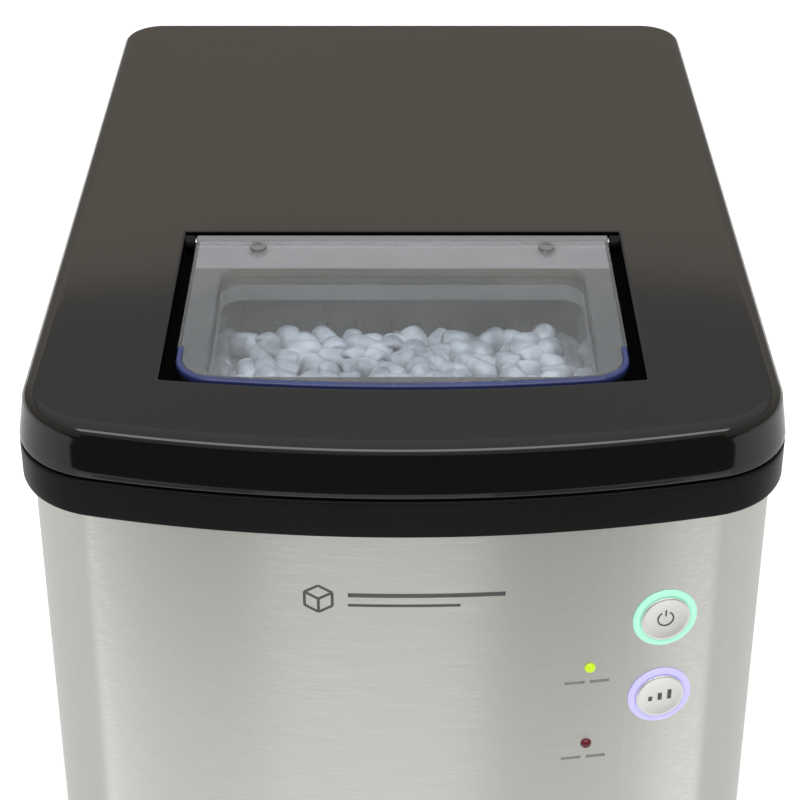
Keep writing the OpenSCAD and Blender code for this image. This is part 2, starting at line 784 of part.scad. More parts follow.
module ice_shovel() {
    color([0.3, 0.32, 0.35]) {
        x_rod(-tank_half_w - 2, tank_half_w + 2, shovel_y, shovel_z, shovel_rod_r);
        difference() {
            block([-58, shovel_y - 1.2, shovel_z - 29], [58, shovel_y + 1.2, shovel_z]);
            for (i = [-5:4])
                translate([11 * i + 2.5, shovel_y - 3, shovel_z - 30]) cube([6, 6, 16]);
        }
    }
}

// ---- Evaporator -------------------------------------------------------------------------------

module evaporator_head() {
    color([0.8, 0.55, 0.4]) union() {
        block([-56, front_row_y - 7, head_z + 2], [56, rear_row_y + 7, head_z + 8]);
        for (y = [front_row_y, rear_row_y]) x_rod(-58, 58, y, head_z + 5, 4.5);
    }
}

module freezing_fingers() {
    module finger(x, y) {
        translate([x, y, finger_tip_z + finger_r]) {
            cylinder(r = finger_r, h = head_z + 0.4 - finger_tip_z - finger_r);
            sphere(r = finger_r);
        }
    }
    color([0.85, 0.85, 0.86]) {
        for (i = [0:front_fingers - 1]) finger(finger_pitch * (i - (front_fingers - 1) / 2), front_row_y);
        for (i = [0:rear_fingers - 1]) finger(finger_pitch * (i - (rear_fingers - 1) / 2), rear_row_y);
    }
}

module evaporator_bracket() {
    z = head_z + 9.8;
    color([0.8, 0.81, 0.82]) {
        block([-66, 2, z], [66, tank_rear - 0.1, z + 1.6]);
        block([-20, tank_rear - 1.7, z - 18], [66, tank_rear - 0.1, z + 0.1]);
        for (m = [0, 1]) mirror([m, 0, 0]) block([64.4, 2, z - 10], [66, 40, z + 0.1]);
    }
}

// ---- Refrigeration ----------------------------------------------------------------------------

module compressor() {
    z0 = 26;
    color([0.06, 0.06, 0.065]) translate([compressor_pos.x, compressor_pos.y, 0]) {
        difference() {
            rotate_extrude() polygon([
                [0, z0], [36, z0], [46, z0 + 4], [compressor_r, z0 + 14], [compressor_r, z0 + 64],
                [compressor_r + 2, z0 + 64], [compressor_r + 2, z0 + 70], [compressor_r, z0 + 70],
                [compressor_r, z0 + 104], [46, z0 + 116], [36, z0 + 123], [18, z0 + 127], [0, z0 + 128]
            ]);
            rotate_extrude() polygon([
                [0, z0 + 3], [34, z0 + 3], [44, z0 + 8], [compressor_r - 3, z0 + 16],
                [compressor_r - 3, z0 + 102], [43, z0 + 113], [34, z0 + 120], [0, z0 + 124]
            ]);
        }
        translate([0, 0, z0 + 3 - eps]) cylinder(r = 33, h = 78);
        difference() {
            block([-44, -50, z0 - 3], [44, 50, z0 + 0.5]);
            for (sx = [-1, 1], sy = [-1, 1])
                translate([grommet_reach.x * sx, grommet_reach.y * sy, z0 - 4]) cylinder(r = 3.05, h = 8);
        }
        block([compressor_r - 4, -14, z0 + 30], [compressor_r + 12, 14, z0 + 60]);
    }
}

module compressor_grommets() {
    color([0.1, 0.1, 0.1]) for (p = grommet_places) translate([p.x, p.y, 0]) difference() {
        union() {
            translate([0, 0, foot_h + base_floor]) cylinder(r = 8, h = 10);
            translate([0, 0, foot_h + 0.1]) cylinder(r = 3, h = 17.5);
            translate([0, 0, 26.6]) cylinder(r = 6, h = 2);
        }
        translate([0, 0, foot_h - 1]) cylinder(r = 1.5, h = 22);
    }
}

module condenser() {
    y0 = fan_pos.x - condenser_half;
    z0 = fan_pos.y - condenser_half;
    size = 2 * condenser_half;
    color([0.78, 0.79, 0.8]) {
        for (i = [0:fins - 1])
            translate([condenser_x, y0 + (size / (fins - 1)) * i, z0]) cube([26, fin_t, size]);
        for (i = [0:4], j = [0, 1])
            y_rod(condenser_x + 7 + 12 * j, y0 - 4, y0 + size + 4, z0 + 12 + 21 * i, 3.2);
    }
}

module fan_shroud() {
    half = 48;
    color([0.08, 0.08, 0.085]) difference() {
        union() {
            difference() {
                block([fan_x, fan_pos.x - half, fan_pos.y - half],
                    [fan_x + 22, fan_pos.x + half, fan_pos.y + half]);
                x_rod(fan_x - 1, fan_x + 23, fan_pos.x, fan_pos.y, 44);
            }
            for (a = [45, 135])
                translate([fan_x, fan_pos.x, fan_pos.y]) rotate([a, 0, 0])
                    block([0, -46, -2.5], [3, 46, 2.5]);
        }
        x_rod(fan_x - 1, fan_x + 6, fan_pos.x, fan_pos.y, 15.5);
    }
}

module fan_motor() {
    color([0.5, 0.5, 0.52]) {
        x_rod(fan_x - 22, fan_x + 4, fan_pos.x, fan_pos.y, 15.4);
        x_rod(fan_x + 3.9, fan_x + 18, fan_pos.x, fan_pos.y, 2);
    }
}

module fan_blades() {
    color([0.12, 0.12, 0.13]) difference() {
        union() {
            x_rod(fan_x + 6, fan_x + 19.5, fan_pos.x, fan_pos.y, 15);
            for (i = [0:fan_blades_n - 1])
                translate([fan_x + 12.8, fan_pos.x, fan_pos.y]) rotate([360 * i / fan_blades_n, 0, 0])
                    translate([0, 0, 14]) rotate([0, 0, 32]) block([-0.7, -10, 0], [0.7, 10, 26.5]);
        }
        x_rod(fan_x + 5, fan_x + 18.5, fan_pos.x, fan_pos.y, 2 + running);
    }
}

module filter_drier() {
    color([0.75, 0.45, 0.3]) translate([22, 163, 40]) rotate_extrude() polygon([
        [0, 0], [2.5, 0], [2.5, 8], [7, 14], [7, 74], [2.5, 82], [2.5, 90], [0, 90]
    ]);
}

module hot_gas_valve() {
    color([0.7, 0.55, 0.25]) {
        translate([26, 40, 130]) cylinder(r = 7, h = 22);
        block([15, 30, 152], [37, 50, 172]);
        y_rod(26, 26, 54, 136, 3);
    }
}

module suction_line() {
    z = head_z + 5;
    color([0.8, 0.5, 0.35]) tube([
        [-40, rear_row_y + 7.1, z], [-40, 60, z], [-40, 86, z], [-40, 97, z - 10], [-40, 98, 260],
        [-40, 98, 215], [-32, 98, 190], [-20, 102, 174], [-12, 110, 166], [-12, 112, 150]
    ], 3);
}

module discharge_line() {
    color([0.8, 0.5, 0.35]) tube([
        [3, 130, 88], [12, 136, 94], [19, 142, 112], [26, 148, 132], [40, 156, 139], [64, 163, 139],
        [80, 166.4, 133], [86, 168, 126], [87, 167.6, 121], [87, 166, 118.2], [87, 163.2, 118]
    ], 2.5);
}

// ---- Water path -------------------------------------------------------------------------------

module water_pump() {
    color([0.2, 0.2, 0.22]) translate([pump_pos.x, pump_pos.y, 0]) {
        translate([0, 0, 62]) cylinder(r = 20, h = 34);
        translate([0, 0, 95.9]) cylinder(r = 12, h = 14);
        translate([0, 0, 109.8]) cylinder(r = 4, h = 25.1);
        x_rod(-30, -15, 0, pump_port_z, 4);
        block([-18, -18, foot_h + base_floor + 0.1], [18, 18, 62.1]);
    }
}

module fill_hose() {
    color([0.8, 0.82, 0.84]) tube([
        [-78.4, -100, pump_port_z], [-90, -99, 88], [-99, -92, 102], [-103, -78, 135], [-104, -50, 185],
        [-104, -18, 235], [-104, 8, 266], [-103, 18, 276], [-97, fill_y, fill_z], [-84, fill_y, fill_z],
        [-54, fill_y, fill_z]
    ], 4);
}

module drain_hose() {
    color([0.8, 0.82, 0.84]) tube([
        [drain_x, drain_y, 134.9], [drain_x, drain_y, 110], [drain_x, drain_y, 70],
        [drain_x + 3, drain_y, 45], [drain_x + 14, drain_y, 29], [drain_x + 30, drain_y, drain_z],
        [94, drain_y, drain_z]
    ], 6);
}

module drain_port() {
    color([0.1, 0.1, 0.105]) difference() {
        union() {
            x_rod(body_half_w - cup_depth - 14, body_half_w - cup_depth + 4, drain_y, drain_z, 7);
            x_rod(body_half_w - cup_depth - 6, body_half_w - cup_depth - 3.1, drain_y, drain_z, 10);
        }
        x_rod(body_half_w - 30, body_half_w, drain_y, drain_z, 5);
    }
}

module drain_cap() {
    x0 = body_half_w - cup_depth;
    color([0.08, 0.08, 0.085]) {
        difference() {
            x_rod(x0 + 0.4, body_half_w - 0.5, drain_y, drain_z, 10.6);
            x_rod(x0, x0 + 4.6, drain_y, drain_z, 7.2);
            for (i = [0:11]) translate([x0, drain_y, drain_z]) rotate([30 * i, 0, 0])
                translate([0, 0, 10.9]) block([-1, -0.9, -0.9], [12, 0.9, 0.9]);
        }
        x_rod(x0 - 5, x0 + 5, drain_y, drain_z, 4.7);
    }
}

module level_sensor_stem() {
    color([0.85, 0.85, 0.8]) translate([float_pos.x, float_pos.y, tank_floor + 0.1]) {
        cylinder(r = 8, h = 2.5);
        cylinder(r = 2.5, h = 34);
        translate([0, 0, 32]) cylinder(r = 4.5, h = 2);
    }
}

module level_float() {
    color([0.9, 0.9, 0.88]) translate([float_pos.x, float_pos.y, tank_floor + 3]) difference() {
        cylinder(r = 10, h = 12);
        translate([0, 0, -1]) cylinder(r = 2.5 + running, h = 14);
    }
}

// ---- Electrics --------------------------------------------------------------------------------

board_y = -154.2;

module control_board() {
    color([0.1, 0.35, 0.2]) block([48, board_y, 200], [104, board_y + 1.6, 284]);
    color([0.15, 0.15, 0.16]) {
        block([54, board_y + 1.5, 206], [66, board_y + 2.2, 218]);
        block([80, board_y - 4, 204], [98, board_y + 0.1, 214]);
    }
}

module power_board() {
    z = foot_h + base_floor;
    color([0.1, 0.35, 0.2]) block([-10, -140, z + 8], [96, -82, z + 9.6]);
    color([0.15, 0.15, 0.16]) {
        block([0, -132, z + 9.5], [34, -100, z + 40]);
        for (x = [48, 66, 84]) translate([x, -126, z + 9.5]) cylinder(r = 6, h = 22);
        for (x = [46, 66]) block([x, -112, z + 9.5], [x + 14, -92, z + 24]);
        for (x = [-4, 90], y = [-134, -88]) translate([x, y, z]) cylinder(r = 3, h = 8.1);
    }
}

module light_ring(z) {
    color([0.8, 1, 0.93]) on_front(button_x, z) difference() {
        union() {
            y_rod(0, -0.7, -0.05, 0, ring_r);
            y_rod(0, -0.1, 4, 0, ring_r - 0.75);
        }
        y_rod(0, -2, 6, 0, cap_r + 0.2);
    }
}

module button_housings() {
    color([0.12, 0.12, 0.13]) for (z = button_z) on_front(button_x, z) difference() {
        y_rod(0, 4.1, 8, 0, ring_r - 0.75);
        y_rod(0, 3, 6.4, 0, cap_r + 0.2);
    }
}

module button(z) {
    color([0.78, 0.78, 0.78]) on_front(button_x, z) {
        y_rod(0, -1.2, 3, 0, cap_r);
        y_rod(0, 2.9, 5, 0, 4);
    }
}

module indicator_lamps() {
    for (i = [0, 1]) color(i == 0 ? [0.8, 1, 0.1] : [0.45, 0.05, 0.08]) on_front(lamp_x, lamp_z[i]) {
        y_rod(0, 0, 6, 0, 1.75);
        sphere(r = 1.75);
        y_rod(0, sheet + 0.1, sheet + 1.2, 0, 2.6);
    }
}

module ice_sensors() {
    color([0.05, 0.05, 0.06]) for (m = [0, 1]) mirror([m, 0, 0])
        block([tank_half_w - 4, -24.5, 272], [tank_half_w - 0.1, -14.5, 284]);
}

module cord_gland() {
    color([0.06, 0.06, 0.06]) difference() {
        union() {
            y_rod(gland_pos.x, panel_y + panel_t + 0.05, half_d, gland_pos.y, 10);
            y_rod(gland_pos.x, panel_y - 8, panel_y + panel_t + 0.1, gland_pos.y, 7.5);
        }
        y_rod(gland_pos.x, 150, half_d + 1, gland_pos.y, gland_bore_r);
    }
}

module case_screws() {
    color([0.6, 0.6, 0.62]) {
        for (s = [-1, 1], z = back_screw_z)
            translate([s * back_screw_x, body_rear + 0.02, z]) rotate([-90, 0, 0]) pan_screw(7);
        for (p = foot_places) translate([p.x, p.y, 3.98]) rotate([180, 0, 0]) pan_screw(8);
    }
}

module frame_screws() {
    color([0.6, 0.6, 0.62]) for (p = frame_screw_places)
        translate([p.x, p.y, seam_z + 0.02]) pan_screw(6, 1.5);
}

// ---- Output -----------------------------------------------------------------------------------

base_pan();
foot(0);  // foot_front_left
foot(1);  // foot_front_right
foot(2);  // foot_rear_left
foot(3);  // foot_rear_right
wrap_panel();
back_panel();
side_grille(-1);  // side_grille_left
side_grille(1);  // side_grille_right
top_frame();
lid_seal();
lid_hinge_pins();
inner_tank();
tank_insulation();
evaporator_head();
freezing_fingers();
evaporator_bracket();
tray_bushes();
tray_motor();
compressor();
compressor_grommets();
condenser();
fan_shroud();
fan_motor();
filter_drier();
hot_gas_valve();
suction_line();
discharge_line();
water_pump();
fill_hose();
drain_hose();
drain_port();
control_board();
power_board();
light_ring(button_z[0]);  // power_light_ring
light_ring(button_z[1]);  // select_light_ring
button_housings();
indicator_lamps();
level_sensor_stem();
ice_sensors();
cord_gland();
case_screws();
frame_screws();
lid_shell();
lid_liner();
lid_screws();
window_hinge_pins();
window_pane();
window_frame();
window_lip();
window_screws();
ice_basket();
water_tray();
tray_shaft();
ice_shovel();
fan_blades();
button(button_z[0]);  // power_button
button(button_z[1]);  // select_button
drain_cap();
level_float();
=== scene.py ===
"""Looks of the countertop ice maker: shells, window, buttons, ice, materials, light and camera."""
import json
import math
import random

import bmesh
import bpy
from mathutils import Matrix, Vector

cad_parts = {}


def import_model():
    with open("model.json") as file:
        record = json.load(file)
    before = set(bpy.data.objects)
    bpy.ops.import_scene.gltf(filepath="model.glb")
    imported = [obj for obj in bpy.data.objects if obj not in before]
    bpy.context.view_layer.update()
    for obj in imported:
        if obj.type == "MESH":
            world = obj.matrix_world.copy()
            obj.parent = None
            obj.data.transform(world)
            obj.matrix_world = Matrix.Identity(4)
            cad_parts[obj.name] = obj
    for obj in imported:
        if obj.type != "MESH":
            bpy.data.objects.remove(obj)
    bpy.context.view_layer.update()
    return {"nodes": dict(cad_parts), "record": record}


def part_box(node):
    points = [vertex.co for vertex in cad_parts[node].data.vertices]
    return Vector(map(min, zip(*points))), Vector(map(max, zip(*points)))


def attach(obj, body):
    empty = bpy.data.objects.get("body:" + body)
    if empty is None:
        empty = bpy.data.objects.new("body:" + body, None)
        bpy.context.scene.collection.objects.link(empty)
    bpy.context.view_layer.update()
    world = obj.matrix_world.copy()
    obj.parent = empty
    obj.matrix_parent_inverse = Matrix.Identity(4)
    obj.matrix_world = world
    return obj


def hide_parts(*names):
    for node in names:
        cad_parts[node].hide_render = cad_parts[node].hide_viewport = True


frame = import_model()

MM = 0.001

# ---- Sizes, in millimetres, from the frame ------------------------------------------------------


def box_mm(node):
    low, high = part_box(node)
    return low / MM, high / MM


frame_low, frame_high = box_mm("top_frame")
lid_high = box_mm("lid_shell")[1]
wrap_low, wrap_high = box_mm("wrap_panel")
pane_low, pane_high = box_mm("window_pane")
lip_low, lip_high = box_mm("window_lip")
strip_low, strip_high = box_mm("window_frame")
pin_low, pin_high = box_mm("lid_hinge_pins")
basket_low, basket_high = box_mm("ice_basket")
window_pins = box_mm("window_hinge_pins")

HALF_W = frame_high.x
HALF_D = frame_high.y
BOW_R = 400.0
FRONT_R = 32.0
REAR_R = 18.0
SHEET = 1.0
DECK_T = 2.6
BOW_Y = BOW_R - HALF_D
WINDOW_BOW_Y = 326.0
BUTTON_X = 83.2
LAMP_X = 59.9
LAMP_R = 1.75
LAMP_FLANGE_R = 2.6
BODY_INSET = HALF_W - wrap_high.x
LID_TOP = lid_high.z
LID_WALL = 2.6
FRAME_BOTTOM = frame_low.z
HINGE_Y = (pin_low.y + pin_high.y) / 2
HINGE_Z = (pin_low.z + pin_high.z) / 2
HINGE_RISE = 1.3
SEAM_Z = HINGE_Z - HINGE_RISE
LID_GAP = 0.6


# ---- Plans --------------------------------------------------------------------------------------


def arc(cx, cy, r, a0, a1, n):
    """Points on an arc from a0 to a1 degrees, in n steps."""
    angles = [math.radians(a0 + (a1 - a0) * i / n) for i in range(n + 1)]
    return [(cx + r * math.cos(a), cy + r * math.sin(a)) for a in angles]


def outline(inset, corner_steps=14, bow_steps=48):
    """Plan of the top frame, moved inwards: bowed front, straight sides, round corners."""
    cx = HALF_W - FRONT_R
    cy = BOW_Y - math.sqrt((BOW_R - FRONT_R) ** 2 - cx**2)
    a = math.degrees(math.atan2(cy - BOW_Y, cx))
    rx, ry = HALF_W - REAR_R, HALF_D - REAR_R
    bow = arc(0, BOW_Y, BOW_R - inset, -180 - a, a, bow_steps)[1:-1]
    side_steps = 12
    right = [(HALF_W - inset, cy + (ry - cy) * i / side_steps) for i in range(1, side_steps)]
    rear = [(rx - 2 * rx * i / side_steps, HALF_D - inset) for i in range(1, side_steps)]
    return (
        bow
        + arc(cx, cy, FRONT_R - inset, a, 0, corner_steps)
        + right
        + arc(rx, ry, REAR_R - inset, 0, 90, corner_steps)
        + rear
        + arc(-rx, ry, REAR_R - inset, 90, 180, corner_steps)
        + [(-x, y) for x, y in reversed(right)]
        + arc(-cx, cy, FRONT_R - inset, -180, -180 - a, corner_steps)
    )


def round_rect(x0, y0, x1, y1, r, steps=8):
    """Rectangle with round corners, counter-clockwise."""
    return (
        arc(x0 + r, y0 + r, r, 180, 270, steps)
        + arc(x1 - r, y0 + r, r, 270, 360, steps)
        + arc(x1 - r, y1 - r, r, 0, 90, steps)
        + arc(x0 + r, y1 - r, r, 90, 180, steps)
    )


def bowed_rect(half_x, front, rear, r, steps=10, bow_steps=24):
    """A plan with square rear corners and a front edge on the window's bow, with corners of radius r."""
    big = WINDOW_BOW_Y + front
    cx = half_x - r
    cy = WINDOW_BOW_Y - math.sqrt((big - r) ** 2 - cx**2)
    a = math.degrees(math.atan2(cy - WINDOW_BOW_Y, cx))
    front_points = arc(0, WINDOW_BOW_Y, big, -180 - a, a, bow_steps)[1:-1]
    right = arc(cx, cy, r, a, 0, steps)
    left = arc(-cx, cy, r, -180, -180 - a, steps)
    return front_points + right + [(half_x, rear), (-half_x, rear)] + left


# ---- Mesh tools ---------------------------------------------------------------------------------


class Shape:
    """A mesh in the making, in millimetres."""

    def __init__(self):
        self.bm = bmesh.new()

    def ring(self, plan, z):
        return [self.bm.verts.new((x * MM, y * MM, z * MM)) for x, y in plan]

    def ring3(self, points):
        return [self.bm.verts.new(Vector(p) * MM) for p in points]

    def skin(self, rings):
        """Quads between each two neighbouring closed rings."""
        for low, high in zip(rings, rings[1:]):
            n = len(low)
            for i in range(n):
                j = (i + 1) % n
                self.bm.faces.new((low[i], low[j], high[j], high[i]))

    def cap(self, ring):
        self.bm.faces.new(ring)

    def plate(self, outer, *holes):
        """Flat face inside outer, with holes."""
        edges = []
        for loop in (outer,) + holes:
            for i, vert in enumerate(loop):
                other = loop[(i + 1) % len(loop)]
                edge = self.bm.edges.get((vert, other)) or self.bm.edges.new((vert, other))
                edges.append(edge)
        bmesh.ops.triangle_fill(self.bm, use_beauty=True, use_dissolve=False, edges=edges)

    def turn(self, profile, steps=48, place=Matrix.Identity(4)):
        """Lathe: profile is (radius, height) pairs about Z. Ends on the axis are closed."""
        rings = []
        for r, h in profile:
            if r < 1e-6:
                rings.append([self.bm.verts.new((place @ Vector((0, 0, h))) * MM)])
            else:
                angles = [2 * math.pi * i / steps for i in range(steps)]
                points = [place @ Vector((r * math.cos(a), r * math.sin(a), h)) for a in angles]
                rings.append(self.ring3(points))
        for low, high in zip(rings, rings[1:]):
            for i in range(steps):
                j = (i + 1) % steps
                corners = [low[i % len(low)], low[j % len(low)], high[j % len(high)], high[i % len(high)]]
                unique = list(dict.fromkeys(corners))
                if len(unique) > 2:
                    self.bm.faces.new(unique)
        return rings

    def box(self, low, high, place=Matrix.Identity(4)):
        made = bmesh.ops.create_cube(self.bm, size=1)
        size = Vector(high) - Vector(low)
        middle = (Vector(high) + Vector(low)) / 2
        for v in made["verts"]:
            local = Vector((v.co.x * size.x, v.co.y * size.y, v.co.z * size.z)) + middle
            v.co = (place @ local) * MM

    def done(self, name, material, body, node_names=(), smooth=35, bevel=0.0, segments=2):
        bmesh.ops.remove_doubles(self.bm, verts=self.bm.verts, dist=1e-7)
        bmesh.ops.recalc_face_normals(self.bm, faces=self.bm.faces)
        mesh = bpy.data.meshes.new(name)
        self.bm.to_mesh(mesh)
        self.bm.free()
        for poly in mesh.polygons:
            poly.use_smooth = True
        mesh.set_sharp_from_angle(angle=math.radians(smooth))
        obj = bpy.data.objects.new(name, mesh)
        bpy.context.scene.collection.objects.link(obj)
        mesh.materials.append(MATERIALS[material])
        if bevel:
            add_bevel(obj, bevel, segments)
        weigh_normals(obj)
        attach(obj, body)
        if node_names:
            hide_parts(*node_names)
        return obj


def add_bevel(obj, width, segments=2, angle=32):
    mod = obj.modifiers.new("bevel", "BEVEL")
    mod.width = width * MM
    mod.segments = segments
    mod.limit_method = "ANGLE"
    mod.angle_limit = math.radians(angle)
    mod.harden_normals = False


def weigh_normals(obj):
    mod = obj.modifiers.new("normals", "WEIGHTED_NORMAL")
    mod.keep_sharp = True
    mod.weight = 80


def cut(obj, cutter):
    """Takes the cutter's shape out of obj, and removes the cutter."""
    mod = obj.modifiers.new("cut", "BOOLEAN")
    mod.object = cutter
    mod.operation = "DIFFERENCE"
    mod.solver = "EXACT"
    bpy.context.view_layer.update()
    shaped = obj.evaluated_get(bpy.context.evaluated_depsgraph_get())
    mesh = bpy.data.meshes.new_from_object(shaped)
    obj.modifiers.remove(mod)
    old = obj.data
    obj.data = mesh
    bpy.data.meshes.remove(old)
    bpy.data.objects.remove(cutter)


# ---- Materials ----------------------------------------------------------------------------------


class Paint:
    """A node material with one Principled shader."""

    def __init__(self, name, color, rough, metal=0.0, **values):
        self.mat = bpy.data.materials.new(name)
        self.mat.use_nodes = True
        self.tree = self.mat.node_tree
        self.shader = self.tree.nodes["Principled BSDF"]
        self.shader.inputs["Base Color"].default_value = (*color, 1)
        self.shader.inputs["Roughness"].default_value = rough
        self.shader.inputs["Metallic"].default_value = metal
        for key, value in values.items():
            self.shader.inputs[key.replace("_", " ")].default_value = value
        self.color = color
        self.rough = rough

    def node(self, kind, **values):
        n = self.tree.nodes.new(kind)
        for key, value in values.items():
            setattr(n, key, value)
        return n

    def link(self, a, b):
        self.tree.links.new(a, b)

    def noise(self, scale, detail=3.0, stretch=(1, 1, 1), rough=0.55):
        """Noise in object space, stretched."""
        coord = self.node("ShaderNodeTexCoord")
        mapping = self.node("ShaderNodeMapping")
        mapping.inputs["Scale"].default_value = stretch
        noise = self.node("ShaderNodeTexNoise")
        noise.inputs["Scale"].default_value = scale
        noise.inputs["Detail"].default_value = detail
        noise.inputs["Roughness"].default_value = rough
        self.link(coord.outputs["Object"], mapping.inputs["Vector"])
        self.link(mapping.outputs["Vector"], noise.inputs["Vector"])
        return noise.outputs["Fac"]

    def ramp(self, source, low, high, start=0.3, end=0.7):
        """Colour ramp from low to high."""
        ramp = self.node("ShaderNodeValToRGB")
        ramp.color_ramp.elements[0].position = start
        ramp.color_ramp.elements[1].position = end
        ramp.color_ramp.elements[0].color = (*low, 1)
        ramp.color_ramp.elements[1].color = (*high, 1)
        self.link(source, ramp.inputs["Fac"])
        return ramp.outputs["Color"]

    def spread(self, source, low, high):
        """Maps 0.3 to 0.7 of the source to low to high."""
        n = self.node("ShaderNodeMapRange")
        n.inputs["From Min"].default_value = 0.3
        n.inputs["From Max"].default_value = 0.7
        n.inputs["To Min"].default_value = low
        n.inputs["To Max"].default_value = high
        self.link(source, n.inputs["Value"])
        return n.outputs["Result"]

    def vary(self, source, amount):
        """Base colour that gets lighter and darker by amount."""
        low = [max(0, c * (1 - amount)) for c in self.color]
        high = [min(1, c * (1 + amount)) for c in self.color]
        self.link(self.ramp(source, low, high), self.shader.inputs["Base Color"])
        return self

    def roughen(self, source, amount):
        self.link(
            self.spread(source, max(0.01, self.rough - amount), self.rough + amount),
            self.shader.inputs["Roughness"],
        )
        return self

    def bump(self, source, height, strength=0.5):
        n = self.node("ShaderNodeBump")
        n.inputs["Strength"].default_value = strength
        n.inputs["Distance"].default_value = height * MM
        self.link(source, n.inputs["Height"])
        self.link(n.outputs["Normal"], self.shader.inputs["Normal"])
        return self


def plastic(name, color, rough, grain=900, vary=0.12, bump=0.03, **values):
    """Moulded plastic: fine grain, and slow changes of tone and gloss."""
    p = Paint(name, color, rough, **values)
    p.vary(p.noise(22, 2), vary)
    p.roughen(p.noise(60, 3), 0.06)
    p.bump(p.noise(grain, 2), bump, 0.35)
    return p.mat


def gloss_black(name):
    """Polished black plastic, with the faint swirl of a wiped surface."""
    p = Paint(name, (0.0038, 0.0038, 0.0036), 0.06)
    p.vary(p.noise(8, 2), 0.1)
    p.link(p.spread(p.noise(7, 2), 0.05, 0.075), p.shader.inputs["Roughness"])
    p.bump(p.noise(1500, 2), 0.002, 0.2)
    return p.mat


def brushed(name, color, rough, along, aniso=0.0, vary=0.06, tilt=0.0, grain_mm=0.015):
    """Brushed metal, with its grain along one axis."""
    p = Paint(name, color, rough, 1.0)
    stretch = [300.0, 300.0, 300.0]
    stretch["xyz".index(along)] = 4.0
    grain = p.noise(3.0, 4, stretch, 0.7)
    p.vary(grain, vary)
    p.roughen(grain, 0.05)
    p.bump(grain, grain_mm, 0.25)
    if aniso:
        p.shader.inputs["Anisotropic"].default_value = aniso
        p.shader.inputs["Anisotropic Rotation"].default_value = tilt
        tangent = p.node("ShaderNodeTangent", direction_type="RADIAL", axis="Z")
        p.link(tangent.outputs["Tangent"], p.shader.inputs["Tangent"])
    return p.mat


def glass(name, color, rough=0.02, ior=1.45, haze=0.09):
    """Clear plastic that lets lamps through, with a thin haze of condensation."""
    p = Paint(name, color, rough, IOR=ior)
    p.shader.inputs["Transmission Weight"].default_value = 1.0
    p.roughen(p.noise(70, 3), 0.012)
    out = p.tree.nodes["Material Output"]
    path = p.node("ShaderNodeLightPath")
    clear = p.node("ShaderNodeBsdfTransparent")
    clear.inputs["Color"].default_value = (0.93, 0.95, 0.97, 1)
    mix = p.node("ShaderNodeMixShader")
    p.link(path.outputs["Is Shadow Ray"], mix.inputs["Fac"])
    p.link(p.shader.outputs["BSDF"], mix.inputs[1])
    p.link(clear.outputs["BSDF"], mix.inputs[2])
    mist = p.node("ShaderNodeBsdfDiffuse")
    mist.inputs["Color"].default_value = (0.2, 0.205, 0.205, 1)
    fog = p.node("ShaderNodeMixShader")
    p.link(p.spread(p.noise(45, 3), haze * 0.7, haze * 1.3), fog.inputs["Fac"])
    p.link(mix.outputs["Shader"], fog.inputs[1])
    p.link(mist.outputs["BSDF"], fog.inputs[2])
    p.link(fog.outputs["Shader"], out.inputs["Surface"])
    return p.mat


def glowing(name, color, light, strength):
    """Lit plastic diffuser."""
    p = Paint(name, color, 0.35)
    p.vary(p.noise(300, 2), 0.06)
    p.roughen(p.noise(200, 2), 0.08)
    p.shader.inputs["Emission Color"].default_value = (*light, 1)
    p.shader.inputs["Emission Strength"].default_value = strength
    return p.mat


def ice_material(name):
    """Cloudy ice: clear skin, white core."""
    p = Paint(name, (0.22, 0.24, 0.26), 0.2, IOR=1.31)
    cloud = p.noise(90, 4)
    p.link(p.ramp(cloud, (0.13, 0.142, 0.16), (0.36, 0.375, 0.4), 0.35, 0.65), p.shader.inputs["Base Color"])
    p.roughen(p.noise(160, 3), 0.1)
    p.bump(p.noise(240, 3), 0.25, 0.5)
    p.shader.inputs["Subsurface Weight"].default_value = 0.35
    p.shader.inputs["Subsurface Scale"].default_value = 0.004
    p.shader.inputs["Subsurface Radius"].default_value = (0.8, 0.95, 1.0)
    p.shader.inputs["Coat Weight"].default_value = 0.5
    p.shader.inputs["Coat Roughness"].default_value = 0.08
    return p.mat


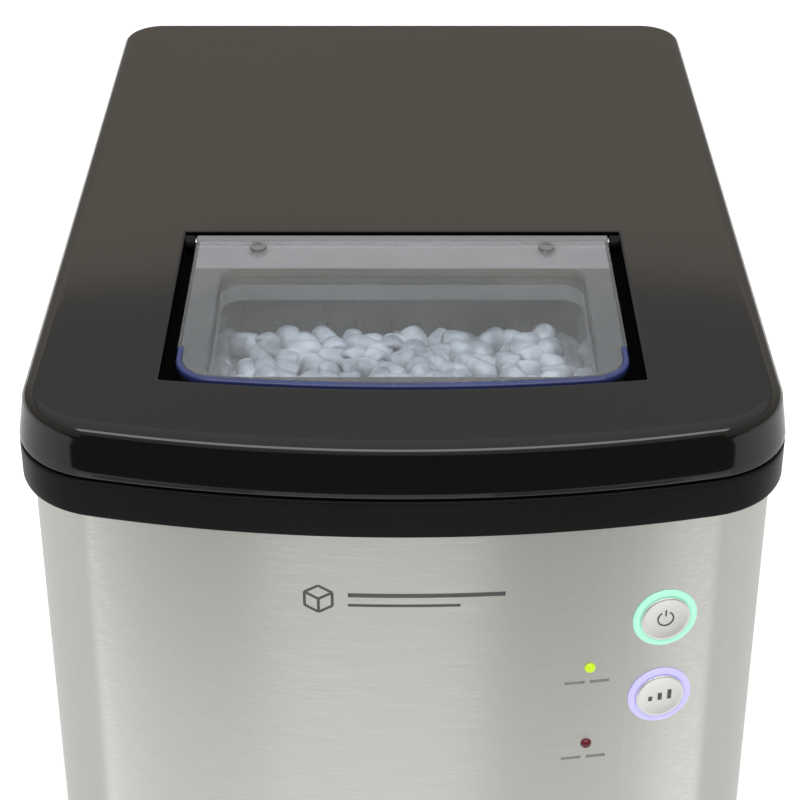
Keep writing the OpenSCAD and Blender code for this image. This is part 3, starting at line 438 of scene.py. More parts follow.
MATERIALS = {
    "steel_wrap": brushed(
        "steel_wrap", (0.605, 0.6, 0.575), 0.3, "x", aniso=0.6, vary=0.018, tilt=0.25, grain_mm=0.005
    ),
    "steel_parts": brushed("steel_parts", (0.6, 0.6, 0.61), 0.3, "x"),
    "lid_black": gloss_black("lid_black"),
    "trim_black": plastic("trim_black", (0.006, 0.006, 0.0065), 0.3, vary=0.12, Specular_IOR_Level=0.07),
    "dark_plastic": plastic("dark_plastic", (0.035, 0.035, 0.038), 0.5, vary=0.15, bump=0.05),
    "liner_grey": plastic("liner_grey", (0.13, 0.13, 0.125), 0.35, vary=0.06),
    "white_plastic": plastic("white_plastic", (0.74, 0.75, 0.74), 0.38, vary=0.04),
    "clear_window": glass("clear_window", (0.9, 0.94, 0.98)),
    "lip_blue": plastic("lip_blue", (0.018, 0.026, 0.09), 0.25, vary=0.1, bump=0.01),
    "basket_plastic": plastic("basket_plastic", (0.66, 0.69, 0.72), 0.35, vary=0.05),
    "tray_plastic": plastic("tray_plastic", (0.09, 0.095, 0.11), 0.38, vary=0.1),
    "button_face": brushed("button_face", (0.86, 0.85, 0.84), 0.42, "x", vary=0.04),
    "ring_light_mint": glowing("ring_light_mint", (0.16, 0.3, 0.24), (0.44, 1.0, 0.72), 0.62),
    "ring_light_lavender": glowing("ring_light_lavender", (0.2, 0.19, 0.34), (0.6, 0.57, 1.0), 0.66),
    "lamp_lens": glowing("lamp_lens", (0.2, 0.3, 0.01), (0.55, 0.8, 0.0), 0.7),
    "rubber_black": plastic("rubber_black", (0.015, 0.015, 0.015), 0.75, grain=500, bump=0.1),
    "rubber_grey": plastic("rubber_grey", (0.22, 0.22, 0.23), 0.7, grain=500, bump=0.08),
    "hose_clear": plastic("hose_clear", (0.6, 0.62, 0.63), 0.3, vary=0.05),
    "insulation_foam": plastic("insulation_foam", (0.78, 0.76, 0.68), 0.9, grain=260, bump=0.5),
    "copper": brushed("copper", (0.75, 0.4, 0.26), 0.28, "z", vary=0.12),
    "nickel_plate": brushed("nickel_plate", (0.72, 0.73, 0.74), 0.16, "z", vary=0.04),
    "brass_valve": brushed("brass_valve", (0.7, 0.5, 0.2), 0.3, "z", vary=0.1),
    "fin_aluminium": brushed("fin_aluminium", (0.7, 0.71, 0.72), 0.32, "x", vary=0.08),
    "cast_motor": brushed("cast_motor", (0.45, 0.45, 0.46), 0.5, "y", vary=0.15),
    "compressor_black": plastic("compressor_black", (0.018, 0.018, 0.02), 0.32, grain=400, bump=0.15),
    "circuit_green": plastic("circuit_green", (0.015, 0.12, 0.05), 0.4, grain=700, vary=0.2),
}


# ---- CAD nodes that stay ------------------------------------------------------------------------


EDGE_BREAKS = {
    "window_lip": 0.6,
    "window_pane": 0.4,
    "window_frame": 0.4,
    "ice_basket": 0.5,
    "lid_liner": 0.4,
}
PLAIN_BREAK = 0.25


def dress_cad_nodes():
    """Every CAD node gets its material and fine edge breaks. Pieces made later replace some of them."""
    for part in frame["record"]["subparts"]:
        obj = frame["nodes"][part["node"]]
        obj.data.materials.clear()
        obj.data.materials.append(MATERIALS[part["material_slot"]])
        weld = obj.modifiers.new("weld", "WELD")
        weld.merge_threshold = 1e-6
        flat = obj.modifiers.new("flat", "DECIMATE")
        flat.decimate_type = "DISSOLVE"
        flat.angle_limit = math.radians(0.1)
        add_bevel(obj, EDGE_BREAKS.get(part["node"], PLAIN_BREAK), 2, 40)
        weigh_normals(obj)


dress_cad_nodes()


# ---- Cabinet ------------------------------------------------------------------------------------

TO_X = Matrix.Rotation(math.radians(90), 4, "Y")
TO_OUTSIDE = Matrix.Rotation(math.radians(90), 4, "X")
HINGE_X = 70.0
KNUCKLE_R = 3.5
LID_KNUCKLE_HALF = 5.5
FRAME_KNUCKLES = ((-11.9, -5.9), (5.9, 11.9))
REBATE_Y = HALF_D - 7.4
REBATE_Z = SEAM_Z - 3.2
BAND_LIP = 3.2
COLLAR_T = 1.6
COLLAR_RISE = 1.8
COLLAR_DROP = 10.0
COLLAR_R = 9.6
SEAL_MARGIN = 1.0
RING_HOLE_R = 9.9
LAMP_HOLE_R = 1.85


def x_pin(shape, x0, x1, y, z, r, edge=0.4, steps=40):
    """Cylinder along X with broken edges."""
    place = Matrix.Translation((x0, y, z)) @ TO_X
    length = x1 - x0
    near = [(0, 0), (r - edge, 0), (r, edge)]
    far = [(r, length - edge), (r - edge, length), (0, length)]
    shape.turn(near + far, steps, place)


def clear_box(name, boxes):
    """A cutter made of boxes."""
    shape = Shape()
    for low, high in boxes:
        shape.box(low, high)
    return loose(shape, name)


def loose(shape, name):
    mesh = bpy.data.meshes.new(name)
    shape.bm.to_mesh(mesh)
    shape.bm.free()
    obj = bpy.data.objects.new(name, mesh)
    bpy.context.scene.collection.objects.link(obj)
    return obj


def front_place(x, z):
    """Matrix that puts Z = 0 on the steel front at x and z, with +Z pointing out of it."""
    r = BOW_R - BODY_INSET
    a = math.asin(x / r)
    at = Vector((r * math.sin(a), BOW_Y - r * math.cos(a), z))
    return Matrix.Translation(at) @ Matrix.Rotation(a, 4, "Z") @ TO_OUTSIDE


def steel_wrap():
    """Folded sheet with a bowed front, open at the back, with holes for buttons, lamps and grilles."""
    shape = Shape()
    low, high = wrap_low.z, wrap_high.z
    outer = [shape.ring(outline(BODY_INSET), z) for z in (low, high)]
    inner = [shape.ring(outline(BODY_INSET + SHEET), z) for z in (high, low)]
    shape.skin(outer + inner + outer[:1])
    wrap = shape.done("steel_wrap", "steel_wrap", "cabinet", ["wrap_panel"], smooth=30)
    holes = Shape()
    for node in ("power_light_ring", "select_light_ring"):
        holes.turn([(0, -8), (RING_HOLE_R, -8), (RING_HOLE_R, 5), (0, 5)], 64, button_place(node))
    for x, z in LAMPS:
        holes.turn([(0, -8), (LAMP_HOLE_R, -8), (LAMP_HOLE_R, 5), (0, 5)], 32, front_place(x, z))
    cut(wrap, loose(holes, "holes"))
    grille_low, grille_high = box_mm("side_grille_right")
    y0, y1, z0, z1 = grille_low.y + 3, grille_high.y - 3, grille_low.z + 3, grille_high.z - 3
    cut(wrap, clear_box("windows", [((-150, y0, z0), (150, y1, z1))]))
    cut(wrap, clear_box("rear", [((-92, 100, low - 5), (92, 200, high + 5))]))
    refresh(wrap)


def refresh(obj, smooth=30):
    """Smooth shading after a cut."""
    for poly in obj.data.polygons:
        poly.use_smooth = True
    obj.data.set_sharp_from_angle(angle=math.radians(smooth))
    weigh = obj.modifiers.get("normals")
    if weigh:
        obj.modifiers.remove(weigh)
    weigh_normals(obj)


def button_place(node):
    """Matrix of a button's middle on the steel front, at the height of its node."""
    low, high = box_mm(node)
    return front_place(BUTTON_X, (low.z + high.z) / 2)


def lamp_places():
    """x and z of each indicator lamp's middle, from the two ends of their node."""
    low, high = box_mm("indicator_lamps")
    return [(LAMP_X, high.z - LAMP_FLANGE_R), (LAMP_X, low.z + LAMP_FLANGE_R)]


LAMPS = lamp_places()


def top_frame():
    """Black frame: outer band, deck with the tank's opening, collar, hinge knuckles and hinge rebate."""
    shape = Shape()
    bottom = FRAME_BOTTOM
    band = [
        (BAND_LIP, bottom + 0.5), (2.8, bottom), (0.9, bottom), (0.25, bottom + 0.25), (0, bottom + 0.9),
        (0, bottom + 4), (0, SEAM_Z - 3), (0, SEAM_Z - 0.7), (0.2, SEAM_Z - 0.2), (0.7, SEAM_Z),
        (1.6, SEAM_Z),
    ]
    rings = [shape.ring(outline(inset), z) for inset, z in band]
    shape.skin(rings)
    opening_low, opening_high = box_mm("lid_seal")

    def collar(extra):
        g = extra - SEAL_MARGIN
        low, high = (opening_low.x - g, opening_low.y - g), (opening_high.x + g, opening_high.y + g)
        return round_rect(*low, *high, COLLAR_R + g)

    outside, inside, edge = 0.0, -COLLAR_T, 0.4
    top, foot = SEAM_Z + COLLAR_RISE, SEAM_Z - COLLAR_DROP
    wall = [
        (outside, SEAM_Z), (outside, top - edge), (outside - edge, top), (inside + edge, top),
        (inside, top - edge), (inside, foot + edge), (inside + edge, foot), (outside - edge, foot),
        (outside, foot + edge), (outside, SEAM_Z - DECK_T),
    ]
    collar_rings = [shape.ring(collar(-extra), z) for extra, z in wall]
    shape.skin(collar_rings)
    shape.plate(rings[-1], collar_rings[0])
    under = shape.ring(outline(BAND_LIP), SEAM_Z - DECK_T)
    shape.plate(under, collar_rings[-1])
    shape.skin([under, rings[0]])
    band_obj = shape.done("top_frame_band", "trim_black", "cabinet", ["top_frame"], smooth=40)
    cut(band_obj, clear_box("rebate", [((-130, REBATE_Y, REBATE_Z), (130, 200, SEAM_Z + 5))]))
    refresh(band_obj, 40)
    step = Shape()
    plan = [p for p in outline(0.6) if p[1] > REBATE_Y - 3]
    rings = [step.ring(plan, z) for z in (REBATE_Z - 3, REBATE_Z)]
    step.skin(rings)
    step.cap(rings[0])
    step.cap(rings[1])
    for side in (-1, 1):
        for x0, x1 in FRAME_KNUCKLES:
            a, b = side * HINGE_X + x0, side * HINGE_X + x1
            x_pin(step, a, b, HINGE_Y, HINGE_Z, KNUCKLE_R)
            low = (a + 0.2, HINGE_Y - KNUCKLE_R, REBATE_Z - 2)
            step.box(low, (b - 0.2, HINGE_Y + KNUCKLE_R - 0.05, HINGE_Z))
    step.done("hinge_step", "trim_black", "cabinet", smooth=40, bevel=0.3)


def base_skirt():
    """Moulded black base with a drain recess on the right, air slots and a floor: its CAD node stays, with
    wider, rounder edge breaks.
    """
    node = frame["nodes"]["base_pan"]
    node.modifiers["bevel"].width = 0.8 * MM
    node.modifiers["bevel"].segments = 3


# ---- Lid ----------------------------------------------------------------------------------------

# Painted shade: the well's walls and ledge get a dead black with no gloss, so the gap round the window reads
# as deep shadow.
WELL_PAINTED_SHADE = plastic("well_painted_shade", (0.0015, 0.0015, 0.0015), 0.8, vary=0.1, Specular_IOR_Level=0.0)
SHOULDER_R = 4.6
LID_DRAFT = 1.8
LID_EDGE = 1.2
WELL_HALF = 76.5
WELL_FRONT = 140.0
WELL_REAR = -30.0
LEDGE_Z = LID_TOP - 6.8
LEDGE_T = 2.0
OPENING = (-62.0, -128.0, 62.0, -57.0, 8.0)


def well_plan(grow):
    return bowed_rect(WELL_HALF + grow, WELL_FRONT + grow, WELL_REAR + grow, 0.7 + grow, steps=6)


def lid_cover():
    """Glossy lid: skirt with draft, rounded shoulder, flat top, and the window's well with its ledge."""
    shape = Shape()
    low, top = SEAM_Z + LID_GAP, LID_TOP
    skirt_low, skirt_high = low + LID_EDGE, top - SHOULDER_R
    profile = [
        (LID_WALL + LID_DRAFT + 0.5, top - LID_WALL), (LID_WALL, low + 0.5), (LID_WALL - 0.4, low),
        (LID_EDGE, low), (0.35, low + 0.35), (0, skirt_low),
    ]
    for i in range(1, 5):
        t = i / 5
        profile.append((LID_DRAFT * t, skirt_low + (skirt_high - skirt_low) * t))
    for i in range(11):
        a = math.radians(90 * i / 10)
        inset = LID_DRAFT + SHOULDER_R * (1 - math.cos(a))
        profile.append((inset, skirt_high + SHOULDER_R * math.sin(a)))
    profile.append((LID_DRAFT + SHOULDER_R + 1.5, top))
    rings = [shape.ring(outline(inset), z) for inset, z in profile]
    shape.skin(rings)
    well = [(1.0, top), (0.55, top - 0.08), (0.2, top - 0.3), (0.0, top - 0.9), (0.0, LEDGE_Z + 0.01)]
    well_rings = [shape.ring(well_plan(grow), z) for grow, z in well]
    shape.skin(well_rings)
    shape.plate(rings[-1], well_rings[0])
    hole = [shape.ring(round_rect(*OPENING), z) for z in (LEDGE_Z + 0.01, LEDGE_Z - LEDGE_T)]
    shape.skin(hole)
    shape.plate(well_rings[-1], hole[0])
    back = [shape.ring(well_plan(2.0), z) for z in (LEDGE_Z - LEDGE_T, top - LID_WALL)]
    shape.skin(back)
    shape.plate(back[0], hole[1])
    shape.plate(rings[0], back[1])
    cover = shape.done("lid_cover", "lid_black", "lid", ["lid_shell"], smooth=40)
    notches = []
    for side in (-1, 1):
        for d in (-1, 1):
            x = side * HINGE_X + d * (LID_KNUCKLE_HALF + 4)
            notches.append(((x - 4, REBATE_Y, low - 1), (x + 4, HALF_D + 1, HINGE_Z + 5)))
    cut(cover, clear_box("notches", notches))
    refresh(cover, 40)
    # Painted shade in the window's well: its walls and ledge take the dead, glossless black instead of the
    # lid's gloss.
    cover.data.materials.append(WELL_PAINTED_SHADE)
    for poly in cover.data.polygons:
        x, y, z = poly.center / MM
        in_well = abs(x) < WELL_HALF + 0.5 and -WELL_FRONT - 2 < y < WELL_REAR + 0.5
        if in_well and LEDGE_Z - 0.5 < z < LID_TOP - 0.25:
            poly.material_index = 1


def lid_knuckles():
    shape = Shape()
    for side in (-1, 1):
        a, b = side * HINGE_X - LID_KNUCKLE_HALF, side * HINGE_X + LID_KNUCKLE_HALF
        x_pin(shape, a, b, HINGE_Y, HINGE_Z, KNUCKLE_R - 0.02)
        shape.box((a + 0.2, HINGE_Y - 3, HINGE_Z), (b - 0.2, HALF_D - 1.8, HINGE_Z + 7))
    y, z = WINDOW_AXIS
    for side in (-1, 1):
        a, b = sorted((side * (WELL_HALF - 3.5), side * (WELL_HALF + 0.5)))
        x_pin(shape, a, b, y, z, 2.4, 0.3)
    shape.done("lid_knuckles", "trim_black", "lid", smooth=40, bevel=0.25)


# ---- Lift-up window -----------------------------------------------------------------------------

LIP_W = 2.0
LIP_REAR = lip_high.y
PANE_REAR = pane_high.y
WINDOW_HALF = strip_high.x
WINDOW_R = 14.0
WINDOW_FRONT = -lip_low.y
FRAME_INNER = (-62.5, -128.3, 62.5, -54.3, 6.0)
WINDOW_SCREWS = ((-50.5, -40.5), (50.5, -40.5))
SURROUND = plastic("window_surround", (0.02, 0.02, 0.02), 0.45, vary=0.06)
STRIP = plastic("window_strip", (0.104, 0.102, 0.107), 0.4, vary=0.05)
SCREW_GREY = plastic("screw_grey", (0.1, 0.1, 0.1), 0.35, vary=0.1)
WINDOW_AXIS = ((window_pins[0].y + window_pins[1].y) / 2, (window_pins[0].z + window_pins[1].z) / 2)
STRIP_R = 2.4
STRIP_Y = -54.0
PANE_GAP = 0.08


def window_plan(inset, rear):
    return bowed_rect(WINDOW_HALF - inset, WINDOW_FRONT - inset, rear, WINDOW_R - inset)


def window_front_line(inset, rear):
    """Open line from the left side round the bowed front to the right side, ending at rear."""
    steps = 10
    plan = window_plan(inset, rear)
    left = plan[-(steps + 1):]
    front_and_right = plan[:-(steps + 3)]
    half = WINDOW_HALF - inset
    return [(-half, rear)] + left + front_and_right + [(half, rear)]


def rounded_stack(shape, plan, z0, z1, edge, steps=4):
    """Walls between two heights with quarter-round edges. Gives back the lowest and highest ring."""
    turns = [math.radians(90 * i / steps) for i in range(steps + 1)]
    low = [(edge * (1 - math.sin(t)), z0 + edge * (1 - math.cos(t))) for t in turns]
    high = [(edge * (1 - math.cos(t)), z1 - edge * (1 - math.sin(t))) for t in turns]
    rings = [shape.ring(plan(inset), z) for inset, z in low + high]
    shape.skin(rings)
    return rings[0], rings[-1]


def pane_plan(inset):
    """Full width behind, and stepped in behind the lip in front."""
    step = LIP_W + PANE_GAP + inset
    shoulder = LIP_REAR + PANE_GAP + inset
    line = window_front_line(step, shoulder)
    half = WINDOW_HALF - PANE_GAP - inset
    rear = PANE_REAR - inset
    return line + [(half, shoulder), (half, rear), (-half, rear), (-half, shoulder)]


def window_pane():
    """Clear pane with two screw holes."""
    shape = Shape()
    z0, z1 = pane_low.z, pane_high.z
    low, high = rounded_stack(shape, pane_plan, z0, z1, 0.35, 3)
    holes = []
    for x, y in WINDOW_SCREWS:
        rings = [shape.ring(arc(x, y, 1.6, 0, 345, 23), z) for z in (z0, z1)]
        shape.skin(rings)
        holes.append(rings)
    shape.plate(low, *[h[0] for h in holes])
    shape.plate(high, *[h[1] for h in holes])
    shape.done("window_clear", "clear_window", "window", ["window_pane"], smooth=35)


def window_border():
    """Dark surround under the pane, and the paler strip that carries the hinge."""
    z0, z1 = strip_low.z, pane_low.z - 0.05
    border = Shape()
    low, high = rounded_stack(border, lambda inset: window_plan(1 + inset, STRIP_Y - inset), z0, z1, 0.3, 2)
    x0, y0, x1, y1, r = FRAME_INNER
    steps = ((0.3, z0), (0, z0 + 0.3), (0, z1 - 0.3), (0.3, z1))
    inner = [border.ring(round_rect(x0 - g, y0 - g, x1 + g, y1 + g, r + g), z) for g, z in steps]
    border.skin(inner)
    border.plate(low, inner[0])
    border.plate(high, inner[-1])
    border.done("window_surround", "liner_grey", "window", ["window_frame"], smooth=35)
    repaint("window_surround", SURROUND)
    strip = Shape()
    y, z = WINDOW_AXIS
    x_pin(strip, -WINDOW_HALF, WINDOW_HALF, y, z, STRIP_R, 0.35, 48)
    half = WINDOW_HALF - 1
    strip.box((-half, STRIP_Y + 0.05, z0), (half, y, z1 + 0.02))
    strip.done("hinge_strip", "liner_grey", "window", smooth=35, bevel=0.2)
    repaint("hinge_strip", STRIP)


def window_lip():
    """Blue soft lip round the pane's front edge and corners, closed at both ends."""
    shape = Shape()
    z0, z1 = lip_low.z, lip_high.z
    low_edge, high_edge, steps = 0.8, 1.1, 5
    turns = [math.radians(90 * i / steps) for i in range(steps + 1)]
    section = [(low_edge * (1 - math.sin(t)), z0 + low_edge * (1 - math.cos(t))) for t in turns]
    section += [(high_edge * (1 - math.cos(t)), z1 - high_edge * (1 - math.sin(t))) for t in turns]
    section += [(LIP_W - 0.35, z1), (LIP_W, z1 - 0.35), (LIP_W, z0 + 0.3), (LIP_W - 0.3, z0)]
    lines = [shape.ring(window_front_line(inset, LIP_REAR), z) for inset, z in section]
    for a, b in zip(lines, lines[1:] + lines[:1]):
        for i in range(len(a) - 1):
            shape.bm.faces.new((a[i], a[i + 1], b[i + 1], b[i]))
    for end in (0, -1):
        shape.cap([line[end] for line in lines])
    shape.done("soft_lip", "lip_blue", "window", ["window_lip"], smooth=40)


def repaint(name, material):
    """Another material than the slot's own, for a piece that differs in tone."""
    mesh = bpy.data.objects[name].data
    mesh.materials.clear()
    mesh.materials.append(material)


def window_screws():
    shape = Shape()
    top = pane_high.z
    for x, y in WINDOW_SCREWS:
        place = Matrix.Translation((x, y, top))
        dome = [(3.0, 0.02), (3.0, 0.3), (2.8, 0.62), (2.3, 0.82), (1.5, 0.9), (1.35, 0.5), (0, 0.45)]
        shape.turn([(0, -4.5), (1.5, -4.5), (1.5, 0.02)] + dome, 40, place)
    shape.done("window_fixings", "dark_plastic", "window", ["window_screws"], smooth=30)
    repaint("window_fixings", SCREW_GREY)


# ---- Buttons, lamps and marks -------------------------------------------------------------------

RED_LENS = plastic("red_lens", (0.1, 0.004, 0.01), 0.25, vary=0.15)
PRINT = plastic("print_grey", (0.06, 0.06, 0.062), 0.5, vary=0.1)
PALE_PRINT = plastic("print_pale", (0.17, 0.17, 0.165), 0.5, vary=0.1)


def light_ring(node, material):
    shape = Shape()
    bulge = [(9.45 + 1.15 * math.cos(a), 0.1 + 0.75 * math.sin(a)) for a in
             [math.radians(180 - 15 * i) for i in range(13)]]
    profile = [(8.3, -4)] + bulge + [(10.6, -0.02), (9.85, -0.02), (9.85, -4), (8.3, -4)]
    shape.turn(profile, 96, button_place(node))
    return shape.done(node.replace("light_ring", "glow_ring"), material, "cabinet", [node], smooth=50)


def button_cap(node, body):
    shape = Shape()
    profile = [(0, -5), (3.8, -5), (4, -4.8), (4, -3), (8.1, -3), (8.1, 0.85), (7.98, 1.08), (7.7, 1.2),
               (7.2, 1.17), (6.2, 1.02), (4.5, 0.9), (2, 0.84), (0, 0.82)]
    shape.turn(profile, 80, button_place(node))
    return shape.done(node + "_cap", "button_face", body, [node], smooth=40)


def lamps():
    for index, (x, z) in enumerate(LAMPS):
        shape = Shape()
        turns = [math.radians(90 * i / 8) for i in range(9)]
        dome = [(LAMP_R * math.cos(a), 0.1 + 1.2 * math.sin(a)) for a in turns]
        stem = [(0, -6), (LAMP_R, -6), (LAMP_R, -2.2)]
        flange = [(LAMP_FLANGE_R, -2.2), (LAMP_FLANGE_R, -1.1), (LAMP_R, -1.1)]
        shape.turn(stem + flange + dome[:-1] + [(0, 1.3)], 40, front_place(x, z))
        name = ("lamp_ready", "lamp_refill")[index]
        nodes = ["indicator_lamps"] if index == 0 else []
        lamp = shape.done(name, "lamp_lens", "cabinet", nodes, smooth=40)
        if index:
            lamp.data.materials.clear()
            lamp.data.materials.append(RED_LENS)


def decal(name, bars, body="cabinet", lift=0.03, place=None):
    """Flat printed bars, each a quad strip that follows the bow: (x0, z0, x1, z1, width)."""
    shape = Shape()
    for x0, z0, x1, z1, width in bars:
        along = Vector((x1 - x0, z1 - z0))
        side = Vector((-along.y, along.x)).normalized() * width / 2
        steps = max(2, int(along.length / 2))
        rows = []
        for i in range(steps + 1):
            middle = Vector((x0, z0)) + along * i / steps
            ends = [middle + side, middle - side]
            if place:
                points = [place @ Vector((e.x, e.y, lift)) for e in ends]
            else:
                points = [front_place(e.x, e.y) @ Vector((0, 0, lift)) for e in ends]
            rows.append(shape.ring3(points))
        for a, b in zip(rows, rows[1:]):
            shape.bm.faces.new((a[0], a[1], b[1], b[0]))
    made = shape.done(name, "dark_plastic", body, smooth=60)
    solid = made.modifiers.new("thick", "SOLIDIFY")
    solid.thickness = 0.04 * MM
    solid.offset = 0
    made.data.materials.clear()
    made.data.materials.append(PRINT)
    return made


def hexagon(cx, cz, r):
    turns = [math.radians(60 * i) for i in range(6)]
    return [(cx + r * math.sin(a), cz + r * math.cos(a)) for a in turns]


def cube_mark():
    """Generic mark: the outline of an ice cube, with two plain lines beside it."""
    cx, cz, r, w = -26.2, 271.5, 5.0, 0.9
    corners = hexagon(cx, cz, r)
    bars = [(*corners[i], *corners[(i + 1) % 6], w) for i in range(6)]
    bars += [(cx, cz, *corners[i], w) for i in (1, 3, 5)]
    bars += [(-17, 273.2, 32, 273.2, 1.5), (-17, 269.4, 18, 269.4, 1.0)]
    decal("front_mark", bars)


def captions():
    bars = []
    for x, z in LAMPS:
        bars += [(x - 8, z - 5.6, x - 1.5, z - 5.6, 1.0), (x + 0.2, z - 5.6, x + 6.5, z - 5.6, 1.0)]
    decal("lamp_captions", bars)
    repaint("lamp_captions", PALE_PRINT)


def cap_marks():
    """Power sign on the upper cap, three bars for the ice size on the lower one."""
    arc_points = arc(0, 0, 2.6, 120, 420, 14)
    bars = [(*a, *b, 0.5) for a, b in zip(arc_points, arc_points[1:])]
    bars.append((0, 1.0, 0, 3.4, 0.5))
    decal("power_sign", bars, "power_key", 0.93, button_place("power_button"))
    bars = [(-3.2, -1.6, -3.2, 0.0, 1.3), (0, -1.6, 0, 1.0, 1.3), (3.2, -1.6, 3.2, 2.0, 1.3)]
    decal("size_sign", bars, "select_key", 0.96, button_place("select_button"))


# ---- Ice ----------------------------------------------------------------------------------------

ICE = ice_material("ice")
ICE_R = 4.6
ICE_LENGTH = 11.0
SHOVEL_CLEAR = -44
HEAP_HALF_X = 54.5
HEAP_FRONT = -120.5
HEAP_REAR = -64.5
HEAP_HIGH = 307.6
HEAP_LOW = 298.0


def ice_profile(rng):
    """One bullet of ice: hollow at one end and round at the other."""
    r = ICE_R * rng.uniform(0.86, 1.1)
    half = ICE_LENGTH / 2 * rng.uniform(0.85, 1.1)
    hole = r * rng.uniform(0.42, 0.55)
    end = [(r * math.cos(a), half - r + r * math.sin(a)) for a in [math.radians(18 * i) for i in range(5)]]
    return (
        [(0, -half + 7), (hole * 0.8, -half + 5), (hole, -half + 0.6), (hole + 0.6, -half),
         (r - 0.8, -half), (r, -half + 0.9), (r * 1.03, -half + 4)]
        + end + [(0, half)]
    )


def heap_top(x, y):
    """Height of the ice heap: high inside the opening, lower under the liner round it."""
    under_window = abs(x) < HEAP_HALF_X and HEAP_FRONT < y < HEAP_REAR
    return HEAP_HIGH if under_window else HEAP_LOW


def ice_heap():
    """Bullets of ice in jittered layers, from the heap's surface downwards."""
    rng = random.Random(11)
    shape = Shape()
    x_room = basket_high.x - 11
    y0, y1 = basket_low.y + 12, SHOVEL_CLEAR - 6
    columns, rows, layers = 19, 12, 3
    for layer in range(layers):
        offset = 0.5 * (layer % 2)
        for i in range(columns):
            for j in range(rows):
                x = -x_room + 2 * x_room * (i + offset) / (columns - 0.5) + rng.uniform(-2.5, 2.5)
                y = y0 + (y1 - y0) * (j + offset) / (rows - 0.5) + rng.uniform(-2.5, 2.5)
                x = max(-x_room, min(x_room, x))
                y = max(y0, min(y1, y))
                z = heap_top(x, y) - ICE_R - 9 * layer + rng.uniform(-2.2, -0.2)
                spin = Matrix.Rotation(rng.uniform(0, 2 * math.pi), 4, "Z")
                lean = Matrix.Rotation(math.radians(rng.uniform(78, 100)), 4, "X")
                shape.turn(ice_profile(rng), 14, Matrix.Translation((x, y, z)) @ spin @ lean)
    shape.done("ice_bullets", "basket_plastic", "basket", smooth=50)
    repaint("ice_bullets", ICE)


steel_wrap()
top_frame()
base_skirt()
lid_cover()
lid_knuckles()
window_pane()
window_border()
window_lip()
window_screws()
light_ring("power_light_ring", "ring_light_mint")
light_ring("select_light_ring", "ring_light_lavender")
button_cap("power_button", "power_key")
button_cap("select_button", "select_key")
lamps()
cube_mark()
captions()
cap_marks()
ice_heap()


# ---- Camera and light ---------------------------------------------------------------------------


CAMERA_AT = (-0.0008, -0.7184, 0.6678)
CAMERA_PITCH = 59.27
CAMERA_LENS = 97.245
CAMERA_DISTANCE = 545.0


def camera():
    data = bpy.data.cameras.new("camera")
    data.sensor_width = 36
    data.lens = CAMERA_LENS
    data.clip_start = 0.01
    data.dof.use_dof = False
    obj = bpy.data.objects.new("camera", data)
    obj.location = CAMERA_AT
    obj.rotation_euler = (math.radians(CAMERA_PITCH), 0, 0)
    bpy.context.scene.collection.objects.link(obj)
    bpy.context.scene.camera = obj


def area(name, at, towards, size, power, size_y=None, glossy=True):
    data = bpy.data.lights.new(name, "AREA")
    data.energy = power
    data.size = size
    if size_y:
        data.shape = "RECTANGLE"
        data.size_y = size_y
    obj = bpy.data.objects.new(name, data)
    obj.location = at
    obj.rotation_euler = (Vector(towards) - Vector(at)).to_track_quat("-Z", "Y").to_euler()
    obj.visible_camera = False
    obj.visible_glossy = glossy
    bpy.context.scene.collection.objects.link(obj)
    return obj


WALL = [
    (0.0, (0.3, 0.29, 0.28)),
    (0.36, (0.5, 0.44, 0.375)),
    (0.45, (0.7, 0.61, 0.52)),
    (0.459, (0.64, 0.57, 0.49)),
    (0.464, (0.35, 0.345, 0.34)),
    (0.54, (0.42, 0.42, 0.42)),
    (0.6, (0.6, 0.6, 0.6)),
    (1.0, (0.85, 0.85, 0.85)),
]


def world():
    """Studio surround: a warm band of wall that the lid mirrors, and a paler ceiling."""
    w = bpy.data.worlds.new("studio")
    w.use_nodes = True
    tree = w.node_tree
    back = tree.nodes["Background"]
    coord = tree.nodes.new("ShaderNodeTexCoord")
    split = tree.nodes.new("ShaderNodeSeparateXYZ")
    ramp = tree.nodes.new("ShaderNodeValToRGB")
    tree.links.new(coord.outputs["Generated"], split.inputs["Vector"])
    tree.links.new(split.outputs["Z"], ramp.inputs["Fac"])
    tree.links.new(ramp.outputs["Color"], back.inputs["Color"])
    while len(ramp.color_ramp.elements) < len(WALL):
        ramp.color_ramp.elements.new(0.5)
    for element, (height, color) in zip(ramp.color_ramp.elements, WALL):
        element.position = height
        element.color = (*color, 1)
    back.inputs["Strength"].default_value = 1.0
    bpy.context.scene.world = w


def studio_card(name, corners, far, near, y_far=-620, y_near=-395):
    """A card that only mirror-like rays see. Its light runs from far to near along Y."""
    shape = Shape()
    shape.cap(shape.ring3(corners))
    obj = loose(shape, name)
    mat = bpy.data.materials.new(name)
    mat.use_nodes = True
    tree = mat.node_tree
    shader = tree.nodes["Principled BSDF"]
    shader.inputs["Base Color"].default_value = (0, 0, 0, 1)
    shader.inputs["Specular IOR Level"].default_value = 0
    shader.inputs["Emission Color"].default_value = (1, 1, 0.985, 1)
    place = tree.nodes.new("ShaderNodeNewGeometry")
    split = tree.nodes.new("ShaderNodeSeparateXYZ")
    fade = tree.nodes.new("ShaderNodeMapRange")
    fade.inputs["From Min"].default_value = y_far * MM
    fade.inputs["From Max"].default_value = y_near * MM
    fade.inputs["To Min"].default_value = far
    fade.inputs["To Max"].default_value = near
    tree.links.new(place.outputs["Position"], split.inputs["Vector"])
    tree.links.new(split.outputs["Y"], fade.inputs["Value"])
    tree.links.new(fade.outputs["Result"], shader.inputs["Emission Strength"])
    obj.data.materials.append(mat)
    obj.visible_camera = False
    obj.visible_diffuse = False
    obj.visible_shadow = False
    obj.visible_transmission = False


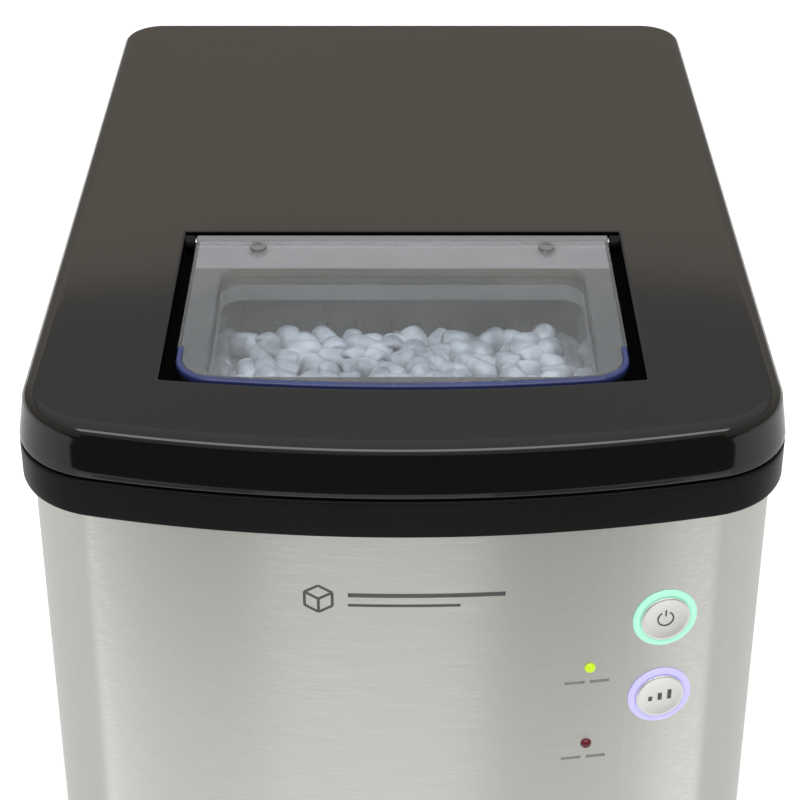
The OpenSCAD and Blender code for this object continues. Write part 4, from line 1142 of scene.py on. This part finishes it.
def mirrored(x, distance, z):
    """Floor point that the steel front mirrors to the camera at x, at a distance along the floor."""
    r = BOW_R - BODY_INSET
    lean = math.asin(x / r)
    seen = math.atan(x / CAMERA_DISTANCE)
    turn = 2 * lean + seen
    y = BOW_Y - r * math.cos(lean)
    return (x + distance * math.sin(turn), y - distance * math.cos(turn), z)


def floor_flag(name, x0, x1, far, near, z=4):
    """Strip of floor that shows on the steel between x0 and x1."""
    start, end = 20, 640
    corners = [mirrored(x0, start, z), mirrored(x0, end, z), mirrored(x1, end, z), mirrored(x1, start, z)]
    studio_card(name, corners, far, near)


def card(name, x0, y0, x1, y1, z, far, near):
    studio_card(name, [(x0, y0, z), (x1, y0, z), (x1, y1, z), (x0, y1, z)], far, near)


def flags():
    """Strips of floor the steel mirrors: pale in the middle, darker beside it, bright near the corners."""
    floor_flag("flag_left", -92, -43, 0.49, 0.98)
    floor_flag("flag_right", 27, 83, 0.46, 0.86)
    floor_flag("strip_left", -117, -92, 1.02, 1.3)
    floor_flag("strip_right", 83, 117, 1.0, 1.28)
    side, reach, low = 185, 2500, 2
    card("near_floor", -side, -820, side, -100, low, 0.93, 1.06)
    card("side_floor_left", -reach, -820, -side, 900, low, 0.78, 0.86)
    card("side_floor_right", side, -820, reach, 900, low, 0.76, 0.84)
    card("far_floor", -reach, -4000, reach, -820, low, 0.05, 0.05)
    wall = [(-3000, -3600, 0), (3000, -3600, 0), (3000, -3600, 1500), (-3000, -3600, 1500)]
    studio_card("far_wall", wall, 0.03, 0.03)


def floor():
    shape = Shape()
    size = 6000
    ring = shape.ring([(-size, -size), (size, -size), (size, size), (-size, size)], 0)
    shape.cap(ring)
    mesh = bpy.data.meshes.new("floor")
    shape.bm.to_mesh(mesh)
    shape.bm.free()
    obj = bpy.data.objects.new("floor", mesh)
    p = Paint("floor", (0.9, 0.9, 0.9), 0.7)
    p.shader.inputs["Specular IOR Level"].default_value = 0.1
    p.vary(p.noise(3, 2), 0.01)
    mesh.materials.append(p.mat)
    bpy.context.scene.collection.objects.link(obj)


camera()
world()
floor()
flags()
area("top", (0, -0.1, 2.3), (0, 0, 0), 2.4, 68, glossy=False)
area("front_bar", (0, -1.15, 1.75), (0, -0.1, 0.3), 2.8, 16, size_y=0.5)
bpy.context.scene.view_settings.view_transform = "Standard"
